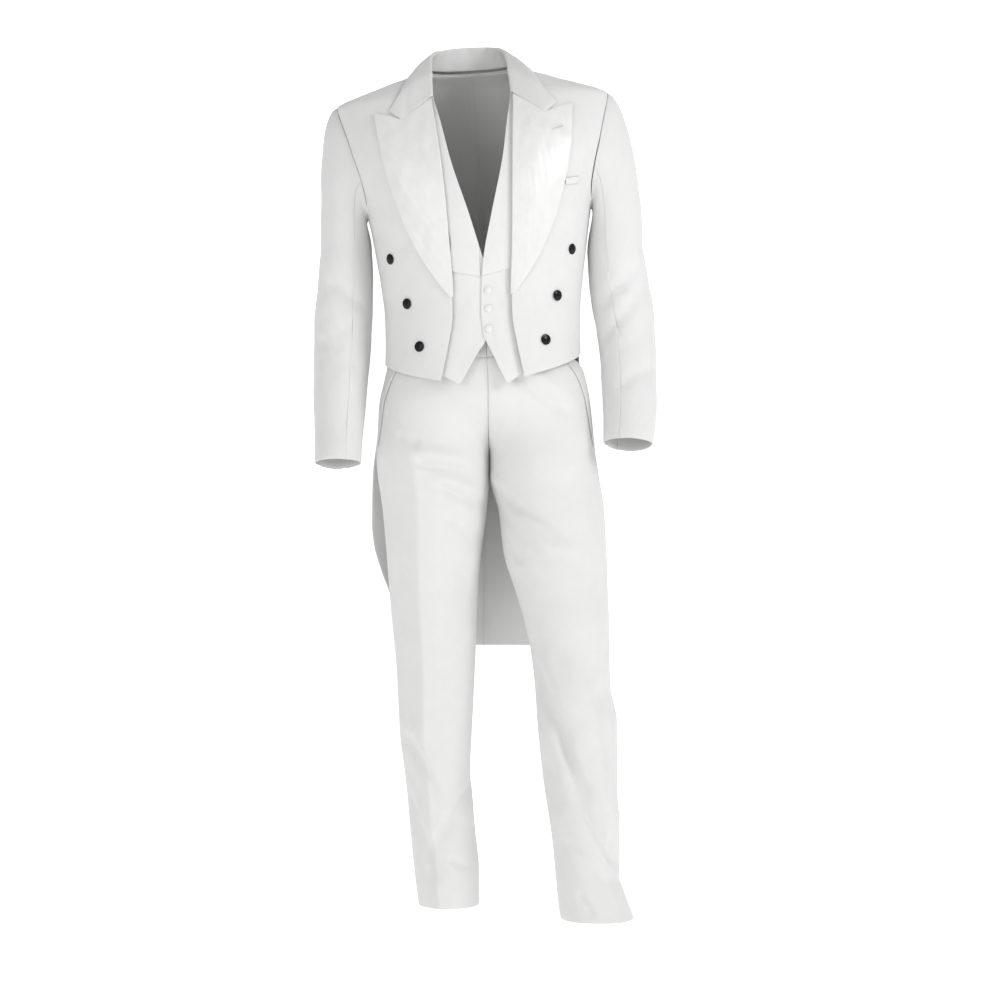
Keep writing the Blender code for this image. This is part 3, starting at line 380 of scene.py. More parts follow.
# side, start angle, start z, end angle, end z, width, height
SLEEVE_FOLDS = (
    (1, 60, -380, 130, -430, 15, -5),
    (1, 70, -440, 140, -500, 14, -5),
    (1, 40, -560, 110, -600, 14, -4),
    (-1, 60, -400, 130, -440, 14, -4),
    (-1, 50, -520, 120, -560, 15, -5),
    (1, 250, -440, 200, -470, 16, -4),
    (-1, 250, -450, 200, -480, 16, -4),
)


# Numbers and curves

def mix(start, end, share):
    """A value between start and end."""
    return start + (end - start) * share


def ease(value):
    """Rises smoothly from 0 to 1."""
    value = np.clip(value, 0.0, 1.0)
    return value * value * (3 - 2 * value)


def unit(vectors):
    """The vectors at length 1."""
    return vectors / np.maximum(np.linalg.norm(vectors, axis=-1, keepdims=True), 1e-12)


def power(value, exponent):
    """A signed power."""
    return np.sign(value) * np.abs(value) ** exponent


def polyline(places, values, at):
    """Straight runs between the values at the places, read at the given places."""
    values = np.asarray(values, dtype=float)
    return np.stack([np.interp(at, places, values[:, k]) for k in range(values.shape[1])], -1)


# The coat's body

def body_sizes(z):
    """Half width, depths and centre of the body's section at a level."""
    half, front, back, centre = BODY.read(z)
    ridge = TIP_X + (np.asarray(z) - TIP_Z) * (NECK_X - TIP_X) / (NECK_Z - TIP_Z)
    narrower = (ridge + half - np.hypot(ridge - half, TIP_ROUNDING)) / 2
    return narrower, front, back, centre


def body(turn, z):
    """Upright body point: turn is 0 in front, 1 at the side, 2 behind, 3 at the far side."""
    half, front, back, centre = body_sizes(z)
    angle = turn * math.pi / 2
    across, along = np.sin(angle), np.cos(angle)
    depth = np.where(along >= 0, front, back)
    x = half * power(across, 2 / ROUNDNESS)
    y = centre - depth * power(along, 2 / ROUNDNESS)
    return np.stack([x, y, z + 0 * x], -1)


def turn_at(x, z):
    """The turn of the front point with this x."""
    half = body_sizes(z)[0]
    across = np.clip(np.abs(x) / half, 0, 1) ** (ROUNDNESS / 2)
    return np.sign(x) * np.arcsin(across) / (math.pi / 2)


def carry(points):
    """Tilts and bends upright points as the suit is worn."""
    height = points[..., 2] - WAIST_PIVOT[1]
    x = WAIST_PIVOT[0] + points[..., 0] * math.cos(TILT) - BEND * height * np.abs(height)
    z = WAIST_PIVOT[1] + points[..., 0] * math.sin(TILT) + height
    return np.stack([x, points[..., 1], z], -1)


def normals(surface, across, up):
    """Outward directions of a surface that runs anticlockwise seen from above."""
    step = NORMAL_STEP
    along = surface(across + step, up) - surface(across - step, up)
    rise = surface(across, up + step) - surface(across, up - step)
    return unit(np.cross(along, rise))


def coat(side, inset=None):
    """The coat's surface on one side, or one that lies inside it by an inset table."""

    def upright(turn, z):
        points = body(turn, z)
        if inset is None:
            return points
        return points - normals(body, turn, z) * inset.read(z)[0][..., None]

    def surface(turn, z):
        points = upright(turn, z)
        return carry(points * np.array([side, 1.0, 1.0]))

    return surface


def scye(degrees, behind=False):
    """The armhole as turn and level, at an angle from the shoulder tip."""
    angle = np.radians(degrees)
    middle, half = (TIP_Z + UNDERARM_Z) / 2, (TIP_Z - UNDERARM_Z) / 2
    bulge = BACK_SCYE if behind else -FRONT_SCYE
    return np.stack([1 + bulge * np.sin(angle), middle + half * np.cos(angle)], -1)


def patch(bottom, top, left, right, u, v):
    """A grid of turns and levels inside four edges, each a function of a share."""
    low, high, start, end = bottom(u), top(u), left(v), right(v)
    across, up = u[None, :, None], v[:, None, None]
    ruled = (1 - up) * low[None] + up * high[None]
    ruled = ruled + (1 - across) * start[:, None] + across * end[:, None]
    corners = ((1 - across) * (1 - up) * low[0] + across * (1 - up) * low[-1]
               + (1 - across) * up * high[0] + across * up * high[-1])
    return ruled - corners


def straight(start, end, place=0):
    """A straight edge between two edges' first places, or between their last ones."""
    first, last = start(ENDS)[place], end(ENDS)[place]
    return lambda share: mix(first, last, share[:, None])


def front_places(x, z):
    """Turns and levels of points given by x and level on the front."""
    x, z = np.asarray(x, dtype=float), np.asarray(z, dtype=float)
    return np.stack([turn_at(x, z), z], -1)




# Relief of the cloth

# Long folds by piece, each from one place to another as seen from the front. A height below 0
# is a trough. Backs and tails have theirs on the side that faces away.
# start x, start z, end x, end z, width, height
FOLDS = {
    "top_sleeve_left": (
        (200, -434, 250, -504, 9, -6.8), (206, -456, 246, -516, 12, 5.4),
        (219, -386, 296, -420, 14, -4.6), (228, -520, 296, -500, 15, -2.7),
    ),
    "top_sleeve_right": (
        (-268, -400, -228, -452, 16, -3.5), (-284, -452, -232, -496, 18, -3.0),
        (-290, -530, -246, -560, 16, -2.4),
    ),
    "trouser_front_right": (
        (-146, -674, -108, -690, 9, -5.4), (-118, -720, -14, -737, 9, -6.4),
        (-118, -702, -20, -716, 12, 4.2), (-76, -762, 8, -797, 9, -7.0),
        (-80, -742, 4, -775, 12, 4.2), (-60, -812, 4, -868, 14, -3.8),
        (-30, -900, -14, -1010, 16, -4.2), (-150, -900, -136, -1040, 18, -3.2),
        (-135, -1206, -78, -1306, 9, -7.4), (-122, -1180, -66, -1284, 13, 4.8),
        (-130, -1306, -82, -1455, 9, -7.0), (-16, -1296, -92, -1424, 10, -6.7),
        (-4, -1322, -66, -1440, 13, 4.5), (-56, -1428, -24, -1442, 6, -4.8),
    ),
    "trouser_front_left": (
        (62, -568, 168, -640, 12, -5.8), (70, -548, 176, -616, 14, 3.5),
        (18, -742, 162, -852, 14, 7.4), (34, -772, 154, -862, 12, -7.4),
        (30, -800, 120, -905, 12, -4.8), (38, -850, 70, -900, 8, -5.8),
        (120, -880, 190, -905, 16, -3.8), (86, -1062, 135, -1182, 12, -8.0),
        (133, -1170, 184, -1332, 11, -9.0), (180, -1322, 248, -1430, 9, -9.0),
        (112, -1056, 160, -1180, 15, 4.8), (160, -1200, 206, -1322, 13, 5.1),
        (212, -1112, 224, -1258, 11, -5.8), (150, -1380, 214, -1450, 12, -5.4),
        (172, -1470, 198, -1508, 7, -5.1), (110, -1240, 140, -1330, 14, -4.2),
        (156, -1070, 200, -1230, 26, 6.0), (200, -1230, 240, -1380, 22, 6.0),
    ),
    "trouser_back_left": (
        (60, -760, 160, -700, 14, -6.4), (50, -800, 150, -765, 12, -5.4),
        (110, -1120, 190, -1090, 12, -7.0), (115, -1160, 205, -1180, 12, -5.8),
        (140, -1360, 230, -1400, 12, -5.4),
    ),
    "trouser_back_right": (
        (-140, -705, -40, -768, 14, -6.7), (-130, -770, -30, -806, 12, -5.1),
        (-150, -1100, -50, -1128, 12, -6.7), (-140, -1190, -45, -1160, 12, -5.4),
        (-120, -1410, -40, -1370, 12, -5.1),
    ),
    "coat_front_left": (
        (176, -300, 120, -330, 14, -1.6), (172, -420, 100, -440, 16, -1.2),
        (208, -140, 186, -240, 12, -1.6),
    ),
    "coat_front_right": (
        (-190, -310, -128, -350, 14, -1.8), (-180, -430, -112, -462, 16, -1.2),
        (-200, -150, -170, -240, 12, -1.6),
    ),
    "coat_back_left": (
        (30, -330, 150, -300, 16, -2.4), (150, -210, 110, -320, 14, -2.2),
    ),
    "coat_back_right": (
        (-170, -325, -40, -345, 16, -2.4), (-168, -220, -128, -330, 14, -2.2),
    ),
    "coat_tail_left": (
        (60, -600, 80, -1040, 16, -2.6),
    ),
    "coat_tail_right": (
        (-70, -620, -54, -1040, 16, -2.8),
    ),
}


def fold_relief(name, points, outward):
    """Height of the long folds at points of a piece, on the side that they face."""
    height = np.zeros(points.shape[:-1])
    away = "back" in name or "tail" in name
    faced_by = outward[..., 1] if away else -outward[..., 1]
    for x0, z0, x1, z1, width, rise in FOLDS.get(name, ()):
        start, end = np.array([x0, z0]) * MM, np.array([x1, z1]) * MM
        run = end - start
        length = np.linalg.norm(run)
        place = points[..., [0, 2]] - start
        share = place @ run / length ** 2
        across = (place[..., 0] * run[1] - place[..., 1] * run[0]) / length
        spread = width * MM * mix(0.75, 1.25, np.clip(share, 0, 1))
        ends = ease(share / 0.3 + 0.35) * ease((1 - share) / 0.4 + 0.35)
        height += rise * MM * np.exp(-(across / spread) ** 2) * ends * ease(faced_by * 2.5)
    return height


def waviness(points, seed, size, length):
    """Low uneven waves of worn cloth, up to about a size, with a usual length."""
    random = np.random.default_rng(seed)
    height = np.zeros(points.shape[:-1])
    for share in (1.0, 0.8, 0.65, 0.5, 0.4):
        way = unit(random.normal(size=3) * np.array([1.0, 0.7, 0.45]))
        phase = random.uniform(0, 2 * math.pi)
        height += share * np.sin(points @ way * 2 * math.pi / (length * share) + phase)
    return height * size / 2


def arcs(points, axis):
    """Distance along the cloth from its first row or column."""
    steps = np.linalg.norm(np.diff(points, axis=axis), axis=-1)
    first = np.zeros_like(np.take(steps, [0], axis=axis))
    return np.concatenate([first, np.cumsum(steps, axis=axis)], axis=axis)


def edge_distances(points):
    """Distance along the cloth from each edge of a grid of points."""
    across, up = arcs(points, 1), arcs(points, 0)
    return {"left": across, "right": across[:, -1:] - across,
            "bottom": up, "top": up[-1:] - up}


def seam_relief(points, seams):
    """A pressed seam: the cloth dips at its edge and stands a little over its turning."""
    height = np.zeros(points.shape[:-1])
    distances = edge_distances(points)
    for edge in seams.split():
        gap = distances[edge]
        height -= SEAM_DEPTH * np.exp(-(gap / SEAM_DEPTH_WIDTH) ** 2)
        height += SEAM_RIDGE * np.exp(-((gap - SEAM_RIDGE_PLACE) / SEAM_RIDGE_WIDTH) ** 2)
    return height


def pull_in(points, edges):
    """Draws the named edges of a grid of points in along the cloth, by half a seam's gap."""
    moved = points.copy()
    sides = {"left": (np.s_[:, 0], np.s_[:, 1]), "right": (np.s_[:, -1], np.s_[:, -2]),
             "bottom": (np.s_[0], np.s_[1]), "top": (np.s_[-1], np.s_[-2])}
    for edge in edges.split():
        rim, inner = sides[edge]
        along = unit(np.gradient(points[rim], axis=0))
        inward = points[inner] - points[rim]
        inward -= along * np.sum(inward * along, -1, keepdims=True)
        moved[rim] += unit(inward) * SEAM_GAP / 2
    return moved


def grid_normals(points, facing):
    """Directions square to a grid of points, turned to the side of the facing directions."""
    square = unit(np.cross(np.gradient(points, axis=1), np.gradient(points, axis=0)))
    if np.sum(square * facing) < 0:
        return -square
    return square


def turn_under(points, facing, edges, depth):
    """Adds a seam's turning along the named edges: down behind the cloth, then outwards."""
    for edge in edges.split():
        axis = 1 if edge in ("left", "right") else 0
        ends = (0, 1) if edge in ("left", "bottom") else (-1, -2)
        rim, inner = (np.take(points, [k], axis=axis) for k in ends)
        out = np.take(facing, [ends[0]], axis=axis)
        along = unit(np.gradient(rim, axis=1 - axis))
        away = rim - inner
        away = unit(away - along * np.sum(away * along, -1, keepdims=True))
        down = unit(out - away * np.sum(out * away, -1, keepdims=True))
        step = rim - down * depth
        added = [step, step + away * TURNING_REACH]
        turned = [unit(down + away), down]
        if ends[0] == 0:
            points = np.concatenate([*added[::-1], points], axis=axis)
            facing = np.concatenate([*turned[::-1], facing], axis=axis)
        else:
            points = np.concatenate([points, *added], axis=axis)
            facing = np.concatenate([facing, *turned], axis=axis)
    return points, facing


# Finishes

class Shade:
    """A shader socket that takes part in sums."""

    def __init__(self, finish, socket):
        self.finish = finish
        self.socket = socket

    def __add__(self, other):
        return self.finish.math("ADD", self, other)

    def __sub__(self, other):
        return self.finish.math("SUBTRACT", self, other)

    def __rsub__(self, other):
        return self.finish.math("SUBTRACT", other, self)

    def __mul__(self, other):
        return self.finish.math("MULTIPLY", self, other)

    __radd__ = __add__
    __rmul__ = __mul__


class Finish:
    """A material whose nodes are made from expressions."""

    def __init__(self, name):
        self.material = bpy.data.materials.new(name)
        self.material.use_nodes = True
        self.tree = self.material.node_tree
        self.shader = self.tree.nodes["Principled BSDF"]

    def feed(self, socket, value):
        """Gives a socket a value or a link."""
        if isinstance(value, Shade):
            self.tree.links.new(value.socket, socket)
        else:
            socket.default_value = value

    def node(self, kind, settings=None, sockets=None):
        """Adds a node with its settings, then the values or links of its sockets."""
        made = self.tree.nodes.new(kind)
        for name, value in (settings or {}).items():
            setattr(made, name, value)
        for name, value in (sockets or {}).items():
            self.feed(made.inputs[name], value)
        return made

    def math(self, operation, *values):
        """A Math node on values and shades."""
        made = self.node("ShaderNodeMath", {"operation": operation}, dict(enumerate(values)))
        return Shade(self, made.outputs[0])

    def set(self, **values):
        """Sets the shader's sockets by their names, with _ for a space."""
        for name, value in values.items():
            self.feed(self.shader.inputs[name.replace("_", " ")], value)

    def in_place(self):
        """Places on the object."""
        return Shade(self, self.node("ShaderNodeTexCoord").outputs["Object"])

    def along_weave(self):
        """Places along the cloth, across and up a piece."""
        return Shade(self, self.node("ShaderNodeUVMap", {"uv_map": WEAVE}).outputs["UV"])

    def noise(self, place, scale, detail, roughness=0.55):
        """Noise in a place, from 0 to 1."""
        made = self.node("ShaderNodeTexNoise", {"noise_dimensions": "3D"},
                         {"Vector": place, "Scale": scale, "Detail": detail,
                          "Roughness": roughness})
        return Shade(self, made.outputs["Fac"])

    def blend(self, share, first, second):
        """A colour between two colours."""
        made = self.node("ShaderNodeMix", {"data_type": "RGBA"},
                         {0: share, 6: (*first, 1.0), 7: (*second, 1.0)})
        return Shade(self, made.outputs[2])

    def bump(self, height, distance):
        """Relief for the shader's Normal."""
        made = self.node("ShaderNodeBump", None,
                         {"Height": height, "Distance": distance, "Strength": 1.0})
        self.set(Normal=Shade(self, made.outputs["Normal"]))


def woven(name, colour, roughness, threads, depth, mottle, sheen, twill):
    """A woven cloth: fine diagonal ribs, an uneven yarn and a faint mottling."""
    finish = Finish(name)
    place = finish.along_weave()
    parts = finish.node("ShaderNodeSeparateXYZ", None, {"Vector": place})
    across, along = Shade(finish, parts.outputs["X"]), Shade(finish, parts.outputs["Y"])
    turns = 2 * math.pi * threads
    ribs = finish.math("SINE", (across * twill + along) * turns)
    yarn = finish.math("SINE", (across - along * 0.4) * turns)
    slub = finish.noise(place, 900, 3)
    cloud = finish.noise(place, 42, 4, 0.62)
    shade = cloud * 0.7 + slub * 0.3
    deep = tuple(part * (1 - mottle) for part in colour)
    finish.set(Base_Color=finish.blend(shade, deep, colour), Roughness=roughness,
               Sheen_Weight=sheen, Sheen_Roughness=0.5, Specular_IOR_Level=0.25)
    finish.bump(ribs * 0.35 + yarn * 0.2 + slub * 0.5 + cloud * 0.6, depth)
    return finish.material


def satin_weave(name, colour):
    """Satin: smooth and bright, with long floats that catch the light and a painted mottled
    sheen.
    """
    finish = Finish(name)
    place = finish.along_weave()
    cloud = finish.noise(place, 34, 5, 0.62)
    stretched = finish.node("ShaderNodeMapping", None,
                            {"Vector": place, "Scale": (2600.0, 240.0, 1.0)})
    floats = finish.noise(Shade(finish, stretched.outputs["Vector"]), 1.0, 2)
    # The cloud darkens and lightens the base colour: painted mottled sheen, besides the cloud's
    # real roughness and relief.
    deep = tuple(part * 0.86 for part in colour)
    finish.set(Base_Color=finish.blend(cloud, deep, colour),
               Roughness=0.26 + cloud * 0.16, Specular_IOR_Level=0.6,
               Sheen_Weight=0.1, Sheen_Roughness=0.3)
    finish.bump(floats * 0.25 + cloud * 2.2, 0.22 * MM)
    return finish.material


def polished(name, colour):
    """A polished black button, faintly scuffed."""
    finish = Finish(name)
    scuff = finish.noise(finish.in_place(), 700, 3)
    finish.set(Base_Color=(*colour, 1.0), Roughness=0.12 + scuff * 0.12,
               Specular_IOR_Level=0.22)
    finish.bump(scuff, 0.02 * MM)
    return finish.material


def thread(name, colour):
    """Sewing thread, with a fine twist."""
    finish = Finish(name)
    twist = finish.noise(finish.in_place(), 2500, 2)
    finish.set(Base_Color=finish.blend(twist, tuple(0.9 * part for part in colour), colour),
               Roughness=0.6, Sheen_Weight=0.2)
    finish.bump(twist, 0.05 * MM)
    return finish.material


def finish_of(kind):
    """The finish of a slot, made once from the panel's colours."""
    name = f"suit {kind}"
    made = bpy.data.materials.get(name)
    if made is not None:
        return made
    colours = bpy.context.scene.suit_colours
    if kind in WEAVES:
        colour = colours.cloth if kind == "suit_cloth" else colours.waistcoat
        return woven(name, tuple(colour), *WEAVES[kind])
    if kind == "black_button":
        return polished(name, tuple(colours.button))
    maker = satin_weave if kind == "satin" else thread
    return maker(name, tuple(colours.satin))


# Making the pieces

def linked(name, data):
    """An object of this data in the scene."""
    made = bpy.data.objects.new(name, data)
    bpy.context.scene.collection.objects.link(made)
    return made


def smooth_object(name, mesh, material):
    """A finished mesh as a smooth object of one material."""
    data = bpy.data.meshes.new(name)
    mesh.to_mesh(data)
    mesh.free()
    data.shade_smooth()
    data.materials.append(material)
    return linked(name, data)


def add(name, mesh, kind):
    """Makes a finished mesh a piece of the suit."""
    piece = smooth_object(name, mesh, finish_of(kind))
    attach(piece, "root")
    "satin" if kind == "thread" else kind
    return piece


def cloth_mesh(points, facing):
    """A mesh through a grid of points, with its weave laid out along the cloth."""
    rows, columns = points.shape[:2]
    mesh = bmesh.new()
    weave = mesh.loops.layers.uv.new(WEAVE)
    bmesh.ops.create_grid(mesh, x_segments=columns - 1, y_segments=rows - 1, size=0.5)
    flat = np.array([vert.co[:] for vert in mesh.verts])
    column = np.rint((flat[:, 0] + 0.5) * (columns - 1)).astype(int)
    row = np.rint((flat[:, 1] + 0.5) * (rows - 1)).astype(int)
    across = arcs(points, 1)
    across = (across - across[:, columns // 2][:, None])[row, column]
    along = arcs(points, 0)[row, column]
    for vert, place in zip(mesh.verts, points[row, column]):
        vert.co = place
    mesh.verts.index_update()
    for face in mesh.faces:
        for loop in face.loops:
            loop[weave].uv = (across[loop.vert.index], along[loop.vert.index])
    mesh.normal_update()
    leaning = sum(face.normal.dot(Vector(facing[row[k], column[k]]))
                  for face, k in ((face, face.verts[0].index) for face in mesh.faces))
    if leaning < 0:
        bmesh.ops.reverse_faces(mesh, faces=mesh.faces)
    return mesh


def shell(name, points, facing, wall, kind, seams="", laps=""):
    """A fine shell of cloth behind a grid of outer points, with rounded rims.

    Cloth is drawn in a little at its seams, and turned under at its laps."""
    sheet = pull_in(points, seams)
    points, facing = turn_under(sheet, facing, laps, wall + TURNING_DEPTH)
    piece = add(f"{name}_cloth", cloth_mesh(points, facing), kind)
    solid = piece.modifiers.new("wall", "SOLIDIFY")
    solid.thickness = wall
    solid.offset = -1.0
    solid.use_quality_normals = True
    rim = piece.modifiers.new("rim", "BEVEL")
    rim.width = wall * RIM_SHARE
    rim.segments = 2
    rim.limit_method = "ANGLE"
    rim.angle_limit = math.radians(55)
    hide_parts(name)
    declare(sheet)
    return piece


def declare(points):
    """Works out the sheet's lengths along the cloth and across its diagonals, and keeps none of
    them.
    """
    across, up = arcs(points, 1), arcs(points, 0)
    edge_a = points[1:, 1:] - points[:-1, :-1]
    edge_b = points[1:, :-1] - points[:-1, 1:]


def raised(points, outward, height):
    """Points moved out along their outward directions."""
    return points + outward * np.broadcast_to(height, points.shape[:-1])[..., None]


def worn(name, points, outward, seams="", wave=0.5 * MM, length=90 * MM):
    """The points with folds, low waves and pressed seams."""
    seed = sum(ord(letter) * (k + 3) for k, letter in enumerate(name))
    height = waviness(points, seed, wave, length)
    distances = edge_distances(points)
    for edge in seams.split():
        height = height * ease(distances[edge] / (28 * MM))
    height = height + fold_relief(name, points, outward) + seam_relief(points, seams)
    return raised(points, outward, height)


# The coat

def faced(surface, side):
    """Outward directions of a mirrored surface, whose normals point inwards."""

    def outward(across, up):
        return normals(surface, across, up) * side

    return outward


def panel(name, side, edges, columns, rows, wall, kind, seams="", laps="", inset=None,
          lift=0.0, wave=0.5 * MM):
    """A panel of the coat or waistcoat inside four edges, given bottom, top, left, right."""
    surface = coat(side, inset)
    places = patch(*edges, np.linspace(0, 1, columns), np.linspace(0, 1, rows))
    turn, level = places[..., 0], places[..., 1]
    outward = faced(surface, side)(turn, level)
    rise = lift(places) if callable(lift) else lift
    points = raised(surface(turn, level), outward, rise)
    points = worn(name, points, outward, seams, wave)
    return shell(name, points, outward, wall, kind, seams, laps)


def coat_front(side, label, wall):
    """A forepart, from its waist point to the shoulder."""
    split = 9 / 19

    def right(v):
        seam = np.stack([np.ones_like(v), mix(WAIST_SEAM_SIDE, UNDERARM_Z, v / split)], -1)
        hole = scye(180 * (1 - (v - split) / (1 - split)))
        return np.where((v < split)[:, None], seam, hole)

    def left(v):
        level = np.interp(v, [0, 0.5, 0.88, 1], [FRONT_POINT_Z, UNDERARM_Z, GORGE_Z, NECK_Z])
        under_roll = ease((level - LAPEL_END_Z) / (20 * MM))
        under_roll = under_roll * (1 - ease((level - GORGE_Z) / (15 * MM)))
        return front_places(COAT_EDGE.read(level)[0] + UNDER_ROLL * under_roll, level)

    def top(u):
        return np.stack([np.ones_like(u), mix(NECK_Z, TIP_Z, u)], -1)

    panel(f"coat_front_{label}", side, (straight(left, right), top, left, right), 54, 112, wall,
          "suit_cloth", "right top", "right top")


def back_seam(v):
    """The seam between back and side body, from the waist seam up to the armhole."""
    top = scye(HINDARM, behind=True)
    start = mix(WAIST_SEAM_SIDE, WAIST_SEAM_BACK, 0.72)
    return np.stack([mix(1.72, top[0], v ** 2.2), mix(start, top[1], v)], -1)


def coat_side(side, label, wall):
    """A side body, between the back seam and the side seam."""

    def left(v):
        return np.stack([np.ones_like(v), mix(WAIST_SEAM_SIDE, UNDERARM_Z, v)], -1)

    def top(u):
        return scye(mix(180, HINDARM, u), behind=True)

    edges = (straight(left, back_seam), top, left, back_seam)
    panel(f"coat_side_{label}", side, edges, 32, 64, wall, "suit_cloth",
          "left right top bottom", "right top")


def coat_back(side, label, wall):
    """A back, from the waist seam to the neck and shoulder."""
    split, corner = 9 / 15, 0.6

    def left(v):
        hole = scye(HINDARM * (1 - (v - split) / (1 - split)), behind=True)
        return np.where((v < split)[:, None], back_seam(np.minimum(v / split, 1)), hole)

    def right(v):
        return np.stack([np.full_like(v, 2.0), mix(WAIST_SEAM_BACK, NECK_Z, v)], -1)

    def top(u):
        turn = 1 + np.maximum(0, (u - corner) / (1 - corner))
        return np.stack([turn, mix(TIP_Z, NECK_Z, np.minimum(u / corner, 1))], -1)

    panel(f"coat_back_{label}", side, (straight(left, right), top, left, right), 48, 104, wall,
          "suit_cloth", "left right top bottom", "left" if side > 0 else "left right")


def tail_seam(across):
    """The waist seam as turn and level: across runs from the front edge, 0, to the back, 1."""
    turn = mix(TAIL_START, 2.0, across)
    return turn, mix(WAIST_SEAM_SIDE, WAIST_SEAM_BACK, turn - 1)


def tail_surface(side):
    """The tail's surface, hanging from the waist seam."""
    carried = coat(side)

    def surface(across, z):
        top = carried(*tail_seam(across))
        half, edge_y, middle_y = TAIL.read(z)
        out = 1 - across
        x = HIP_CENTRE + side * (half * out + SEAM_GAP * across)
        y = middle_y - (middle_y - edge_y) * out ** 3
        level = z + 0 * x
        hung = np.stack([x, y, level], -1)
        below = np.concatenate([top[..., :2], level[..., None]], -1)
        drop = (top[..., 2] - z) / TAIL_BLEND
        return mix(below, hung, ease(drop)[..., None])

    return surface


def coat_tail(side, label, wall):
    """A tail, from the waist seam to its hem at the knee."""
    name = f"coat_tail_{label}"
    surface, carried = tail_surface(side), coat(side)
    across = np.linspace(0, 1, 44)
    seam = tail_seam(across)
    drops = np.linspace(1, 0, 110) ** 1.05
    level = mix(carried(*seam)[..., 2][None, :], TAIL_HEM, drops[:, None])
    grid = np.broadcast_to(across, level.shape)
    outward = faced(surface, side)(grid, level)
    outward[-1] = faced(carried, side)(*seam)
    points = worn(name, surface(grid, level), outward, "right top", 1.0 * MM, 160 * MM)
    shell(name, points, outward, wall, "suit_cloth", "right top",
          "top" if side > 0 else "right top")


def fold_line(start, start_z, end, end_z, width, height):
    """A fold between two places, given along the cloth in metres and by level in mm."""
    return (np.array([start, start_z * MM]), np.array([end, end_z * MM]),
            width * MM, height * MM)


def fold_height(places, folds):
    """Height of the folds at places given in metres along the cloth."""
    height = np.zeros(places.shape[:-1])
    for start, end, width, depth in folds:
        run = end - start
        share = np.clip(np.sum((places - start) * run, -1) / np.sum(run * run), 0, 1)
        gap = np.linalg.norm(places - start - share[..., None] * run, axis=-1)
        height += depth * np.exp(-(gap / width) ** 2)
    return height


def sleeve_surface(side):
    """A sleeve: across is the angle from its outer edge over the front, up its height."""
    table = SLEEVES[side]
    folds = [fold_line(math.radians(a) * SLEEVE_RING, z, math.radians(b) * SLEEVE_RING, w,
                       width, height)
             for hand, a, z, b, w, width, height in SLEEVE_FOLDS if hand == side]

    def centre(z):
        outer, inner, y, _ = table.read(z)
        return np.stack([side * (outer + inner) / 2, y, z + 0 * y], -1)

    def surface(angle, z):
        outer, inner, _, half_depth = table.read(z)
        axis = unit(centre(z + MM) - centre(z - MM))
        wide = np.zeros(axis.shape)
        wide[..., 0] = side
        wide = unit(wide - axis * np.sum(wide * axis, -1, keepdims=True))
        ahead = unit(np.cross(wide, axis)) * side
        place = np.stack([np.mod(angle, 2 * math.pi) * SLEEVE_RING, z + 0 * angle], -1)
        swell = 1 + fold_height(place, folds) / SLEEVE_RING
        half_width = (outer - inner) / 2 * swell
        return (centre(z) + wide * (half_width * np.cos(angle))[..., None]
                + ahead * (half_depth * swell * np.sin(angle))[..., None])

    return surface


def sleeve_rows(side, degrees):
    """Outer points of a sleeve, from the armhole down to the cuff, column by column."""
    degrees = np.mod(degrees, 360)
    angle = np.radians(degrees)
    carried = coat(side)
    front = scye(np.where(degrees > 180, 360 - degrees, degrees))
    behind = scye(np.where(degrees > 180, 360 - degrees, degrees), behind=True)
    rim = np.where((degrees > 180)[:, None], behind, front)
    start = carried(rim[:, 0], rim[:, 1])
    tube = sleeve_surface(side)
    end = tube(angle, np.full(len(angle), SLEEVE_HEAD_TOP))
    over = (1 + np.cos(angle)) / 2
    reach, climb = (mix(*ends, over)[:, None] for ends in (HEAD_REACH, HEAD_CLIMB))
    outward = unit(np.array([side * HEAD_LEAN[0], 0.0, HEAD_LEAN[1]]))
    start = start + outward * SHOULDER_GAP
    near, far = start + outward * reach, end + np.array([0, 0, 1.0]) * climb
    head = [(1 - t) ** 3 * start + 3 * t * (1 - t) ** 2 * near
            + 3 * t * t * (1 - t) * far + t ** 3 * end
            for t in np.linspace(0, 1, HEAD_ROWS)[:-1] ** 1.15]
    arm = [tube(angle, np.full(len(angle), z))
           for z in np.linspace(SLEEVE_HEAD_TOP, SLEEVES[side].keys[0], ARM_ROWS)]
    return np.array(head + arm)


def sleeve(side, label, half, wall):
    """The top sleeve or the under sleeve, seamed at the forearm and the hindarm."""
    name = f"{half}_{label}"
    if half == "top_sleeve":
        degrees = np.linspace(-HINDARM, HINDARM, 56)
    else:
        degrees = np.linspace(HINDARM, 360 - HINDARM, 36)
    points = sleeve_rows(side, degrees)
    middle = points.mean(axis=1, keepdims=True)
    outward = grid_normals(points, points - middle)
    points = worn(name, points, outward, "", 0.6 * MM, 80 * MM)
    shell(name, points, outward, wall, "suit_cloth", "left right",
          "left right" if half == "under_sleeve" else "")


def gorge_line(share):
    """The top of the lapel: down the gorge seam to the notch, then up to the peak."""
    x = mix(73.5, 175.5, share) * MM
    z = np.interp(share, [0, 0.5, 1], [-72, -110, -92]) * MM
    return front_places(x, z)


